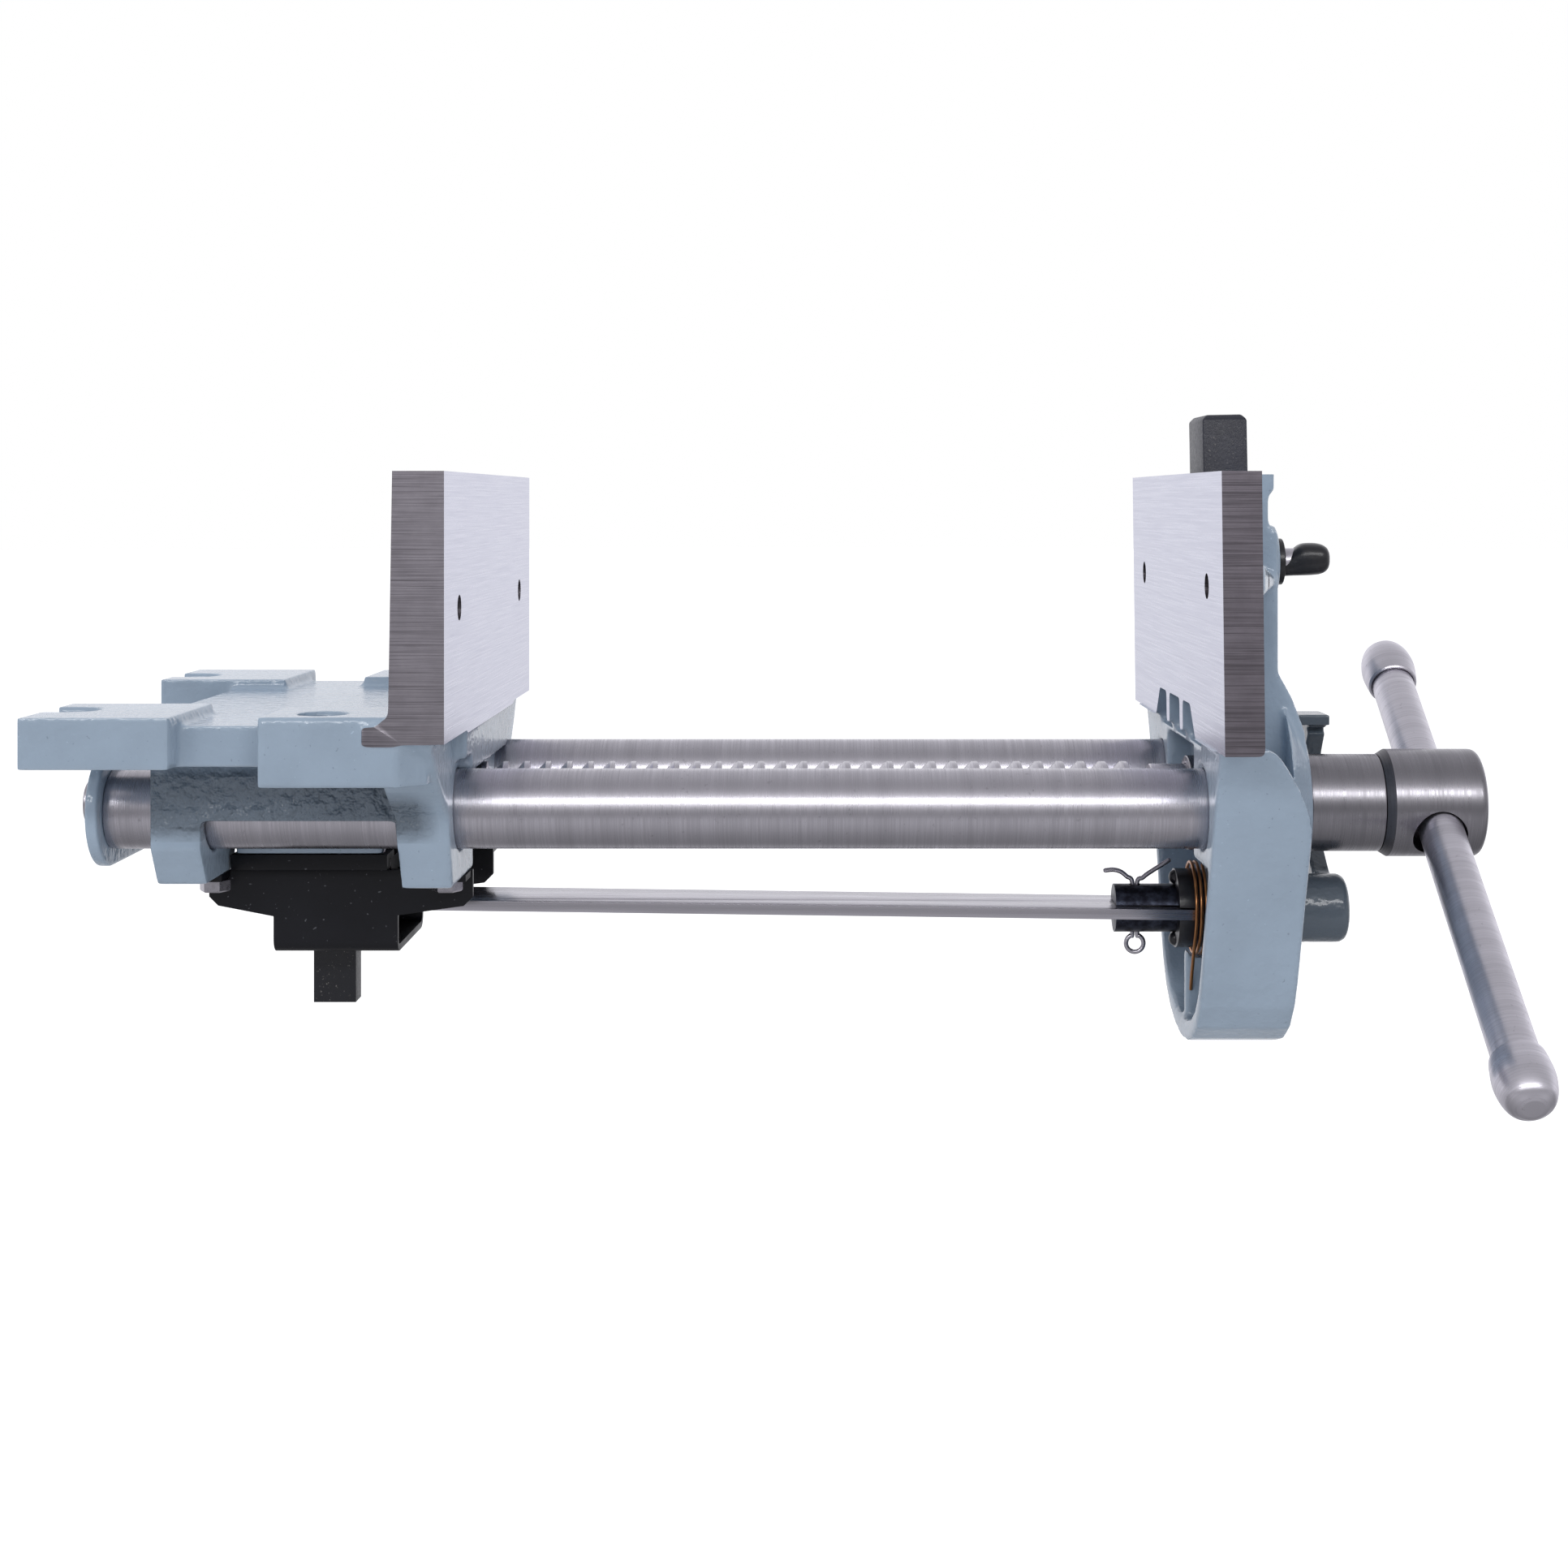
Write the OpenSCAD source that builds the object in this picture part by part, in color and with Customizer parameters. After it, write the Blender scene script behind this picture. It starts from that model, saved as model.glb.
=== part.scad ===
// Quick-release woodworking bench vise, drawn with its jaws open.
// Millimetres. +X runs along the screw towards the handle, +Y across the jaws, +Z up.
// The origin is on the rear jaw's face, mid-width, level with the underside of the bench.

/* [Jaws] */
// Width of both jaws
jaw_w = 178; // [160:1:200]
// Height of the jaws above the bench underside
jaw_h = 64.4; // [60:0.2:76]
// Opening between the top edges of the jaws
opening = 202.7; // [120:0.1:208]
// Lean of the front jaw towards the rear one, in degrees
toe_in = 0.7; // [0:0.1:1.2]
// Thickness of the rear jaw plate at its top
rear_plate_t = 13.5; // [11:0.5:16]
// Thickness of the front jaw plate
front_plate_t = 10.5; // [9:0.5:13]
// How far the rear jaw plate reaches below the bench underside
rear_plate_drop = 7; // [6:0.2:8]
// How far the front jaw plate reaches below the bench underside
front_plate_drop = 10.2; // [9:0.2:11]
// Diameter of the holes for wooden cheeks
cheek_hole_d = 7; // [5:0.1:8]
// Distance between the rear jaw's cheek holes
rear_cheek_pitch = 126; // [110:1:140]
// Height of the rear jaw's cheek holes
rear_cheek_z = 27.6; // [20:0.2:40]
// Distance between the front jaw's cheek holes
front_cheek_pitch = 125; // [110:1:140]
// Height of the front jaw's cheek holes
front_cheek_z = 33.4; // [24:0.2:40]

/* [Rear casting] */
// How far the mounting lugs reach behind the rear jaw's face
lug_back = 111.2; // [106:0.1:116]
// How far the front ends of the lugs lie behind the face
lug_front = 71.5; // [66:0.5:74]
// Thickness of the lugs
lug_t = 13.7; // [12:0.1:15]
// Half distance between the lugs
lug_in = 44; // [40:1:50]
// Distance between the lugs' slots
slot_pitch = 127; // [120:1:134]
// Width of the slots
slot_w = 14; // [10:0.5:15]
// Depth of the slots
slot_depth = 13.7; // [12:0.1:17]
// Thickness of the front pads
pad_t = 18.5; // [17:0.5:20]
// How far the pads' rear ends lie behind the face
pad_back = 49; // [46:0.5:54]
// Diameter of the pad holes
pad_hole_d = 13; // [9:0.5:14]
// How far the pad holes lie behind the face
pad_hole_x = 34.3; // [30:0.1:38]
// Distance of the pad holes from the jaw's ends
pad_hole_inset = 13; // [10:0.5:16]
// Drop of the deck's top below the pads
deck_drop = 3; // [2:0.5:4]
// Thickness of the deck
deck_t = 11; // [9:0.5:12]
// Half width over the side walls and bulkheads
wall_out = 57; // [55:0.5:60]
// Thickness of the side walls
wall_t = 4; // [3:0.5:4.5]
// How far the bulkheads reach below the bench underside
bulkhead_drop = 49.8; // [49:0.2:51]

/* [Guide rods and screw] */
// Diameter of the guide rods
rod_d = 22.4; // [20:0.2:23]
// Distance between the guide rods
rod_pitch = 82; // [80:0.5:84]
// Depth of the guide rods below the bench underside
rod_drop = 29.8; // [29:0.1:31]
// How far the guide rods reach behind the rear jaw's face
rod_back = 100.4; // [93.4:0.1:108]
// Depth of the screw below the bench underside
screw_drop = 33.3; // [32.8:0.1:34]
// Diameter over the screw's thread
thread_d = 24.4; // [23:0.2:25]
// Lead of the thread
lead = 6.35; // [5.8:0.05:6.6]
// Height of the thread
thread_h = 2.4; // [2:0.1:2.6]
// Width of the thread's crest
crest_w = 1.5; // [1:0.1:1.8]
// Diameter of the screw's plain shank
shank_d = 23; // [22:0.2:24]
// Diameter of the screw's tail
tail_d = 13; // [11:0.5:14]
// How far the tail sticks out behind the tie plate
tail_stub = 16.3; // [12:0.1:24]
// Thickness of the tie plate
tie_t = 3.4; // [3:0.1:4.5]
// Radius of the tie plate's round ends
tie_r = 16; // [15:0.2:18]

/* [Front casting] */
// Half width of the apron's straight shoulder
apron_shoulder = 74; // [72:1:78]
// Half width of the apron beside the rods
apron_half_w = 59.2; // [58.5:0.1:61]
// Depth of the apron below the bench underside
apron_drop = 104.4; // [100:0.2:110]
// How far the apron's rear rim lies in front of the jaw's face
rim_x = 2.5; // [2:0.1:4]
// How far the apron's front lies in front of the jaw's face
apron_x = 29.8; // [28:0.2:32]
// Thickness of the apron's side walls
apron_wall = 5; // [4:0.2:7]
// Thickness of the apron's front wall
apron_front_t = 5; // [4:0.2:7]
// How far the screw boss reaches in front of the jaw's face
boss_x = 37.7; // [36:0.1:39]
// Diameter of the screw boss
boss_d = 46; // [42:1:50]

/* [Bench dog] */
// Thickness of the dog
dog_t = 13; // [11:0.1:13.4]
// Width of the dog
dog_w = 26; // [20:1:28]
// Length of the dog
dog_l = 76; // [70:1:80]
// How far the dog stands above the jaws
dog_up = 17.4; // [2:0.1:18]
// Height of the thumbscrew
thumb_z = 38.5; // [34:0.1:42]
// Diameter of the thumbscrew
thumb_d = 8; // [6:0.5:8]

/* [Head and tommy bar] */
// Diameter of the sleeve behind the head
sleeve_d = 28.8; // [27:0.2:30]
// Length of the sleeve
sleeve_l = 22; // [18:0.1:24]
// Diameter of the head
head_d = 31.8; // [31:0.2:34]
// Length of the head
head_l = 29.6; // [29:0.1:34]
// Diameter of the hole for the tommy bar
tommy_hole_d = 16; // [15:0.1:17]
// Diameter of the tommy bar
tommy_d = 13; // [11:0.1:13.5]
// Tilt of the tommy bar from level, in degrees
tommy_tilt = 32.9; // [0:0.1:90]
// Distance from the screw's axis to the middle of the upper knob
upper_reach = 64.6; // [40:0.1:80]
// Distance from the screw's axis to the middle of the lower knob
lower_reach = 113; // [90:0.1:125]
// Diameter of the tommy bar's knobs
knob_d = 16.6; // [16.5:0.1:20]
// Length of the tommy bar's knobs
knob_l = 17.3; // [14:0.1:20]

/* [Quick release] */
// Depth of the release shaft below the bench underside
release_drop = 64.7; // [64.2:0.1:65.2]
// Diameter of the release shaft
shaft_d = 14.2; // [13:0.1:15]
// Width of the release strip
strip_w = 25; // [22:0.5:25.5]
// Thickness of the release strip
strip_t = 3; // [2.4:0.1:3.2]
// Upward tilt of the strip towards the half nut, in degrees
strip_tilt = 0.75; // [0:0.05:0.9]
// Drop of the half nut when it is released
nut_travel = 2.84; // [2.4:0.01:3]
// Diameter of the spring collar
collar_d = 23.3; // [22:0.1:24]
// Diameter of the trigger lever's hub
hub_d = 20.2; // [19:0.1:23]
// Thickness of the trigger lever's arm
arm_t = 5.2; // [4.5:0.1:6]
// Depth of the finger pad's top below the bench underside
finger_drop = 8.5; // [6:0.5:14]

/* [Half nut and guard] */
// Half width of the guard
guard_half_w = 22; // [21.8:0.1:23]
// Thickness of the guard's sheet
sheet_t = 2; // [1.6:0.1:2.1]
// Depth of the guard's trough below the bench underside
trough_drop = 74.1; // [74:0.1:76]
// Length of the half nut
nut_l = 21; // [19:0.5:22]
// How far the half nut's front end lies behind the rear jaw's face
nut_front = 39; // [38:0.5:40]
// Depth of the half nut's tail end below the bench underside
tail_end_drop = 92.1; // [86:0.2:98]
// Thickness of the half nut's tail across the jaws
tail_t = 8; // [6:0.5:9]

/* [Springs] */
// Wire of the nut springs
nut_wire_d = 0.9; // [0.7:0.1:1]
// Coil diameter of the nut springs, at the middle of the wire
nut_coil_d = 3.6; // [3.2:0.1:3.8]
// Wire of the release spring
release_wire_d = 1; // [0.8:0.1:1]
// Coil diameter of the release spring, at the middle of the wire
release_coil_d = 27.4; // [26.4:0.1:28]

/* [Hidden] */
$fn = 48;

// Finishes
paint = [0.6, 0.68, 0.74];
steel = [0.62, 0.6, 0.6];
black = [0.13, 0.13, 0.16];
copper = [0.6, 0.4, 0.25];

// Clearances
cut = 1;             // overrun of every cut
fixed_fit = 0.02;    // radial gap of pieces fixed in each other
running_fit = 0.05;  // radial gap of pieces that turn or slide
seat_gap = 0.2;      // gap between seated faces
slack = 0.3;         // gap of loose guides

// Levels and axes
rod_y = rod_pitch / 2;
rod_z = -rod_drop;
screw_z = -screw_drop;
release_z = -release_drop;
mouth_y = jaw_w / 2;

// Rear casting
plate_root_t = 14.6;                 // rear plate's thickness at its foot
foot_reach = 21;                     // foot's reach behind the face
foot_t = 3.8;
foot_fillet = 3;
deck_top = -deck_drop;
deck_bottom = deck_top - deck_t;
deck_back = 88.6;
deck_inset = 9;                      // deck's side behind the jaw's end
lug_overhang = 0.6;                  // lugs' reach past the jaw's end
pad_inset = 0.4;
pad_front = 5.5;
pad_in = 55;
pad_nose = 7;                        // bevel at the pads' front ends
wall_drop = 31.4;
rear_bulkhead_back = 86;
rear_bulkhead_front = 72;
bulkhead_bevel = [7, 10.5];          // lower corners: inwards, up
front_wall_top = [19.2, 3.7];        // back and front of the wall at the deck, behind the face
front_wall_bottom = [16.8, 2.8];
front_wall_half = [[jaw_w / 2 - pad_inset, rear_plate_drop], [76, pad_t], [61, rod_drop],
    [wall_out, bulkhead_drop]];
throat_half = [48.5, 38];
throat_drop = [15.2, 20];
throat_back = 14;
throat_set = 0.3;                    // throat's step behind the face
thread_window_r = 13;
notch_half_w = 18;
notch_top = 44;
rib_in = 15;
rib_out = 26;
rib_drop = 45;
rib_back = 70;
rib_front = 28;

// Guard
guard_back = 78.7;
guard_front = 2.5;
guard_top = bulkhead_drop + seat_gap;
trough_back = 60.1;
trough_front = 24.2;
guard_corner = 2.6;
guard_edge_drop = [60.4, 63.5, 63.2, 60.5];
trough_corner_r = 4;
flange_w = 10;
rear_flange = [78.7, 72.5];
front_flange = [15, 3];
guard_screw_d = 5;
guard_screw_grip = 7;                // thread's reach into the casting
guard_head_d = 8.8;
guard_head_h = 3.2;
guard_screw_x = [-(rear_flange[0] + rear_flange[1]) / 2, -(front_flange[0] + front_flange[1]) / 2];
guard_screw_y = guard_half_w + flange_w / 2;

// Nut guide
guide_back = 71.4;
guide_front = 26.5;
guide_t = 4.4;
guide_top = rib_drop + seat_gap / 2;
guide_bottom = guide_top + guide_t;
bridge_w = 4.4;
bridge_drop = [47, 51.5];
cheek_gap = 0.6;
cheek_drop = 56;
slit = [38.5, 35.5];
guide_screw_x = [-65.5, -30.5];
guide_screw_y = (rib_in + rib_out) / 2;
guide_screw_d = 5;
guide_screw_grip = 9;
guide_head_d = 8;
guide_head_h = 2.4;

// Half nut
nut_back = nut_front + nut_l;
nut_bore_r = thread_d / 2 + slack;
nut_half_w = 14.5;
nut_top = 38;
window_half_w = 13.6;
post_half_w = 17;
window_top = 54;
shoulder_top = 50.6;
floor_top = release_drop + strip_t / 2 - slack;
floor_t = trough_drop - sheet_t - floor_top - nut_travel - slack;
tail_back = 52.3;
tail_front = 39.8;
tooth_slack = 0.2;
tooth_sink = 0.4;                    // tooth's reach into the nut, and its gap over the thread's floor
tooth_tip_r = thread_d / 2 - thread_h + tooth_sink;
tooth_base_r = nut_bore_r + tooth_sink;
tooth_arc = 90;
tooth_steps = 6;
nut_teeth = 3;
ear_front = 31.5;
ear_drop = [52.6, 55.5];
ear_half_w = 18.9;
ear_h = ear_drop[1] - ear_drop[0];
slot_gap = 0.6;

// Nut springs
nut_spring_x = -35;
nut_spring_y = 16.5;
nut_spring_low = -(trough_drop - sheet_t) + nut_wire_d / 2 + seat_gap;
nut_spring_high = -ear_drop[1] - nut_wire_d / 2 - seat_gap;
nut_curls = 6;
curl_rings = 16;                     // steps of one curl
wire_sides = 6;

// Front casting
plate_low_x = (jaw_h + front_plate_drop) * tan(toe_in);
housing_half_w = 19.5;
housing_x = 28.3;
lip_x = 27;
housing_lip_t = 4.8;
housing_notch = [1.7, 9.6];          // depth and height of the notch under the lip
// Neck between the housing and the screw boss: height, reach in front of the jaw's face
housing_flare = [[6.6, 28.3], [-0.5, 32.2], [-9.9, 35.8], [-16.7, 36.9], [-22, 37.5]];
thumb_boss_d = 22;
thumb_boss_x = 30.7;
rib_plate_t = [8, 3];                // rib's thickness at the plate and at its outer edge
rib_plate_x = 16.5;
cheek_boss_d = 20;
cheek_boss_t = 3;
pocket_half_w = 39;
pocket_top = -1.3;
pocket_drop = 12.6;
pocket_depth = 7;
pocket_arch = 9;
pocket_rib_y = 13.2;
pocket_rib_t = 6;
boss_foot_r = 36;
beam_x = 1.3;
beam_drop = 46;
core_half_w = 25;
core_x = 11.5;
core_top = 14;
// Side outline of the apron, down from its shoulder: half width, drop below the bench underside
apron_side_shares = [[1, 0], [0.541, 0.111], [0, 0.302]];
apron_bowl_shares = [[0.872, 0.476], [0.686, 0.739], [0.617, 0.815], [0.507, 0.89], [0.355, 0.943],
    [0.186, 0.972], [0, 0.984]];
// Front profile of the apron, down from its shoulder: reach share, drop share
nose_shares = [[0.27, 0], [0.337, 0.007], [0.451, 0.028], [0.58, 0.064], [0.668, 0.091], [0.756, 0.12],
    [0.845, 0.155], [0.927, 0.195], [0.985, 0.243], [1, 0.3], [1, 1]];
apron_floor_t = 6;
web_t = 5;
web_drop = 76.9;
web_set = 1.4;
web_notch = [5.2, 9.9];              // web's notch round the release spring, from back to front
web_notch_r = 14.5;
release_boss_d = 24;
release_boss_back = 8.6;
release_boss_front = 32.5;
hub_relief = 0.8;                    // casting's clearance round the lever's hub
rod_end_x = 23;                      // rods' blind ends in the casting

// Rods and tie plate
spigot_d = 12;
rivet_d = 15;
rivet_t = 1.4;
rod_back_x = -rod_back;
tie_front_x = rod_back_x - seat_gap / 2;
tie_back_x = tie_front_x - tie_t;

// Screw, placed from the front jaw's face
thread_back = 77;                    // thread's reach behind the rear jaw's face
thread_sides = 16;
thread_end_x = -6.7;                 // thread's run-out at the shank
thread_turns = round((opening + thread_end_x + thread_back) / lead) - 1;
thread_fade_share = 0.3;
face_lean = 0.15;
tail_shank_d = 18;
tail_neck_l = 6;                     // thin neck in front of the tie plate
tail_neck_x = tie_front_x - opening + tail_neck_l;
washer_t = 1.3;
boss_fit_x = boss_x + seat_gap / 2;
sleeve_x = boss_fit_x + washer_t;
head_x = sleeve_x + sleeve_l;
head_chamfer_l = 2.4;
head_round = 2.5;
journal_d = 20;
spigot_l = 7;                        // journal's reach into the head
head_pin_d = 4;
tommy_hole_x = 15.7;                 // hole's middle in front of the head's rear end
tommy_x = head_x + tommy_hole_x;
tommy_shift = [0.4, -1.08];          // bar's rest place off the hole's middle: along x, across the tilt
collar_x = 4.2;
collar_l = 6;
collar_out_d = 28;
collar_pin_d = 4;

// Tommy bar
spigot_share = 0.62;                 // bar's ends, thinned inside the knobs
// Outline of a knob, from the bar outwards: radius share, length share
knob_shares = [[0.85, 0.006], [0.94, 0.145], [1, 0.38], [0.985, 0.55], [0.9, 0.75], [0.75, 0.9], [0.52, 1]];

// Quick release, placed from the front jaw's face
shaft_back_x = -17.3;
strip_slot_t = strip_t + 2 * slack;
strip_back = 66;                     // strip's reach behind the rear jaw's face
strip_back_x = -opening - strip_back;
strip_front_x = 5.7;
strip_pivot_x = -5.8;
cotter_x = -11;
cotter_wire_d = 1.4;
cotter_gap = 0.1;
cotter_hole_d = 3.5;
collar_back_x = 0.8;
collar_front_x = 8.4;
nub_r = 2.2;
nub_reach = 1.7;
nub_z = 9.2;
hub_back_x = release_boss_front + seat_gap;
hub_front_x = 51.5;
hub_round = 2.2;
hub_cap_t = 4;                       // hub's closed end
shaft_front_x = hub_front_x - hub_cap_t;
arm_x = 44.3;
finger_back_x = 40.7;
finger_l = 9.5;
finger_h = 3.2;
finger_span = [14, 28];
// Middle line of the lever's arm: y, height above the hub
arm_line = [[0, 2], [13, 5], [24.5, 13], [30.5, 24], [30.5, 36], [26.5, 46], [21, 53]];
arm_half_w = 4.6;
lever_pin_d = 4;

// Release spring, placed from the front jaw's face
release_spring_x = 5.2;
release_curls = 2.3;
release_pitch = 1.5;
release_leg = [3.1, 23.6];           // leg's foot: beside the web, below the shaft
release_hook = 0.5;
release_start = 210;                 // angle where the leg meets the curls

// Bench dog, placed from the front jaw's face
dog_lean = 1.1;
dog_x = 8.7;
dog_gap = 0.3;
dog_chamfer = 1.4;
thumb_tip_gap = 0.3;
thumb_l = 19.5;
flange_d = 13.9;
flange_l = 1.9;
wing_l = 13.8;
wing_w = 13;
wing_t = 10.3;

// Box between two limits along each axis
module box(x, y, z) {
    translate([x[0], y[0], z[0]]) cube([x[1] - x[0], y[1] - y[0], z[1] - z[0]]);
}

// Outline in x and z, run along y
module prism_y(points, y) {
    translate([0, y[1], 0]) rotate([90, 0, 0]) linear_extrude(y[1] - y[0]) polygon(points);
}

// Outline in y and z, run along x
module prism_x(points, x) {
    translate([x[0], 0, 0]) rotate([90, 0, 90]) linear_extrude(x[1] - x[0]) polygon(points);
}

module rod_along_x(d, x, y, z) {
    translate([x[0], y, z]) rotate([0, 90, 0]) cylinder(d = d, h = x[1] - x[0]);
}

module rod_along_z(d, z, x, y) {
    translate([x, y, z[0]]) cylinder(d = d, h = z[1] - z[0]);
}

module both_sides() {
    children();
    mirror([0, 1, 0]) children();
}

function reversed(list) = [for (i = [len(list) - 1:-1:0]) list[i]];

// Half outline [y, z] and its mirror image, as one closed outline
function mirrored(half) = concat(half, [for (p = reversed(half)) [-p[0], p[1]]]);

function unit(v) = v / norm(v);

// Rings of a round wire along a path, square to it
function wire_points(path, d, sides, ref) = [for (i = [0:len(path) - 1])
    let (a = path[max(i - 1, 0)], b = path[min(i + 1, len(path) - 1)],
         t = unit(b - a), n = unit(cross(t, ref)), m = cross(n, t))
    for (k = [0:sides - 1]) path[i] + d / 2 * (cos(360 * k / sides) * n + sin(360 * k / sides) * m)];

function wire_faces(rings, sides) = concat(
    [[for (k = [0:sides - 1]) k]],
    [for (i = [0:rings - 2], k = [0:sides - 1])
        let (a = i * sides + k, b = i * sides + (k + 1) % sides) [a, a + sides, b]],
    [for (i = [0:rings - 2], k = [0:sides - 1])
        let (a = i * sides + k, b = i * sides + (k + 1) % sides) [b, a + sides, b + sides]],
    [[for (k = [sides - 1:-1:0]) (rings - 1) * sides + k]]);

module wire(path, d, sides, ref) {
    polyhedron(points = wire_points(path, d, sides, ref), faces = wire_faces(len(path), sides));
}

// Round bar from an outline [radius, height], along z
module turned(outline) {
    rotate_extrude() polygon(outline);
}

// Rear jaw casting
module rear_jaw_plate() {
    low = -rear_plate_drop;
    root = low + foot_t;
    prism_y([[0, low], [0, jaw_h], [-rear_plate_t, jaw_h], [-plate_root_t, root + foot_fillet],
        [-plate_root_t - foot_fillet, root], [-foot_reach, root], [-foot_reach, low]], [-mouth_y, mouth_y]);
}

module slotted_lug() {
    out = mouth_y + lug_overhang;
    slot_y = slot_pitch / 2;
    slot_end_x = -lug_back + slot_depth - slot_w / 2;
    difference() {
        box([-lug_back, -lug_front], [lug_in, out], [-lug_t, 0]);
        rod_along_z(slot_w, [-lug_t - cut, cut], slot_end_x, slot_y);
        box([-lug_back - cut, slot_end_x], [slot_y - slot_w / 2, slot_y + slot_w / 2], [-lug_t - cut, cut]);
    }
}

module drilled_pad() {
    out = mouth_y - pad_inset;
    translate([0, 0, -pad_t]) linear_extrude(pad_t)
        polygon([[-pad_back, pad_in], [-pad_back, out], [-pad_front - pad_nose, out], [-pad_front,
            out - pad_nose],
            [-pad_front, pad_in]]);
}

module front_wall() {
    half = [for (p = front_wall_half) [p[0], -p[1]]];
    intersection() {
        prism_x(mirrored(half), [-front_wall_top[0] - cut, 0]);
        prism_y([[-front_wall_top[0], -pad_t], [-front_wall_top[0], -rear_plate_drop],
            [-front_wall_top[1], -rear_plate_drop], [-front_wall_bottom[1], -bulkhead_drop],
            [-front_wall_bottom[0], -bulkhead_drop]], [-mouth_y, mouth_y]);
    }
}

module rear_bulkhead() {
    low = -bulkhead_drop;
    half = [[wall_out, deck_bottom], [wall_out, low + bulkhead_bevel[1]], [wall_out - bulkhead_bevel[0],
        low]];
    prism_x(mirrored(half), [-rear_bulkhead_back, -rear_bulkhead_front]);
}

module throat() {
    box([-throat_back, -throat_set], [-throat_half[0], throat_half[0]], [-throat_drop[0], -rear_plate_drop]);
    box([-throat_back, -throat_set], [-throat_half[1], throat_half[1]], [-throat_drop[1], -throat_drop[0]]);
}

module rear_jaw_body() {
    rear_jaw_plate();
    box([-deck_back, -front_wall_top[1]], [-mouth_y + deck_inset, mouth_y - deck_inset], [deck_bottom,
        deck_top]);
    front_wall();
    rear_bulkhead();
    throat();
    both_sides() {
        slotted_lug();
        drilled_pad();
        box([-rear_bulkhead_front - cut, -front_wall_bottom[0]], [wall_out - wall_t, wall_out],
            [-wall_drop, deck_bottom]);
        box([-rib_back, -rib_front], [rib_in, rib_out], [-rib_drop, deck_bottom]);
    }
}

module rear_jaw() color(paint) difference() {
    rear_jaw_body();
    rod_along_x(2 * thread_window_r, [-deck_back, cut], 0, screw_z);
    box([-deck_back, cut], [-notch_half_w, notch_half_w], [-bulkhead_drop - cut, -notch_top]);
    both_sides() {
        rod_along_x(rod_d + 2 * running_fit, [-deck_back, cut], rod_y, rod_z);
        rod_along_z(pad_hole_d, [-pad_t - cut, cut], -pad_hole_x, mouth_y - pad_hole_inset);
        rod_along_x(cheek_hole_d, [-plate_root_t - cut, cut], rear_cheek_pitch / 2, rear_cheek_z);
        for (x = guard_screw_x)
            rod_along_z(guard_screw_d + 2 * fixed_fit, [-bulkhead_drop - cut,
                -bulkhead_drop + guard_screw_grip],
                x, guard_screw_y);
        for (x = guide_screw_x)
            rod_along_z(guide_screw_d + 2 * fixed_fit, [-rib_drop - cut, -rib_drop + guide_screw_grip],
                x, guide_screw_y);
    }
}

// Guard under the half nut
module channel(half_w, low, r, x) {
    translate([x[0], 0, 0]) rotate([90, 0, 90]) linear_extrude(x[1] - x[0]) {
        translate([-half_w, low + r]) square([2 * half_w, -low]);
        translate([-half_w + r, low]) square([2 * (half_w - r), r + cut]);
        translate([-half_w + r, low + r]) circle(r);
        translate([half_w - r, low + r]) circle(r);
    }
}

module guard_flange(x) {
    box([-x[0], -x[1]], [guard_half_w - sheet_t, guard_half_w + flange_w], [-guard_top - sheet_t,
        -guard_top]);
}

module half_nut_guard() color(black) {
    long = [-guard_back - cut, cut];
    difference() {
        union() {
            intersection() {
                prism_y([[-guard_back, -guard_top], [-guard_back, -guard_edge_drop[0] + guard_corner],
                    [-guard_back + guard_corner, -guard_edge_drop[0]], [-trough_back, -guard_edge_drop[1]],
                    [-trough_back, -trough_drop], [-trough_front, -trough_drop],
                    [-trough_front, -guard_edge_drop[2]], [-guard_front - guard_corner, -guard_edge_drop[3]],
                    [-guard_front, -guard_edge_drop[3] + guard_corner], [-guard_front, -guard_top]],
                    [-guard_half_w, guard_half_w]);
                channel(guard_half_w, -trough_drop, trough_corner_r, long);
            }
            both_sides() {
                guard_flange(rear_flange);
                guard_flange(front_flange);
            }
        }
        channel(guard_half_w - sheet_t, -trough_drop + sheet_t, trough_corner_r - sheet_t, long);
        box([-tail_back - slot_gap, -tail_front + slot_gap], [-tail_t / 2 - slot_gap, tail_t / 2 + slot_gap],
            [-trough_drop - cut, -trough_drop + sheet_t + cut]);
        both_sides() for (x = guard_screw_x)
            rod_along_z(guard_screw_d + 2 * fixed_fit, [-guard_top - sheet_t - cut, -guard_top + cut],
                x, guard_screw_y);
    }
}

module guard_screws() color(steel) both_sides() for (x = guard_screw_x) {
    under = -guard_top - sheet_t - seat_gap / 2;
    rod_along_z(guard_screw_d, [under, -bulkhead_drop + guard_screw_grip - seat_gap], x, guard_screw_y);
    translate([x, guard_screw_y, under - guard_head_h]) cylinder(d = guard_head_d, h = guard_head_h, $fn = 6);
}

// Guide frame of the half nut
module nut_guide() color(black) difference() {
    union() {
        for (x = [[-guide_back, -guide_back + bridge_w], [-guide_front - bridge_w, -guide_front]])
            box(x, [-guard_half_w + sheet_t + cheek_gap, guard_half_w - sheet_t - cheek_gap],
                [-bridge_drop[1], -bridge_drop[0]]);
        both_sides() {
            box([-guide_back, -guide_front], [rib_in, rib_out], [-guide_bottom, -guide_top]);
            box([-guide_back, -slit[0]], [post_half_w + cheek_gap, guard_half_w - sheet_t - cheek_gap],
                [-cheek_drop, -guide_top]);
            box([-slit[1], -guide_front], [post_half_w + cheek_gap, guard_half_w - sheet_t - cheek_gap],
                [-ear_drop[0] + slack, -guide_top]);
        }
    }
    both_sides() for (x = guide_screw_x) {
        rod_along_z(guide_screw_d + 2 * fixed_fit, [-guide_bottom - cut, -guide_top + cut], x, guide_screw_y);
        rod_along_z(guide_head_d + 2 * fixed_fit, [-cheek_drop - cut, -guide_bottom + guide_head_h],
            x, guide_screw_y);
    }
}

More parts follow.
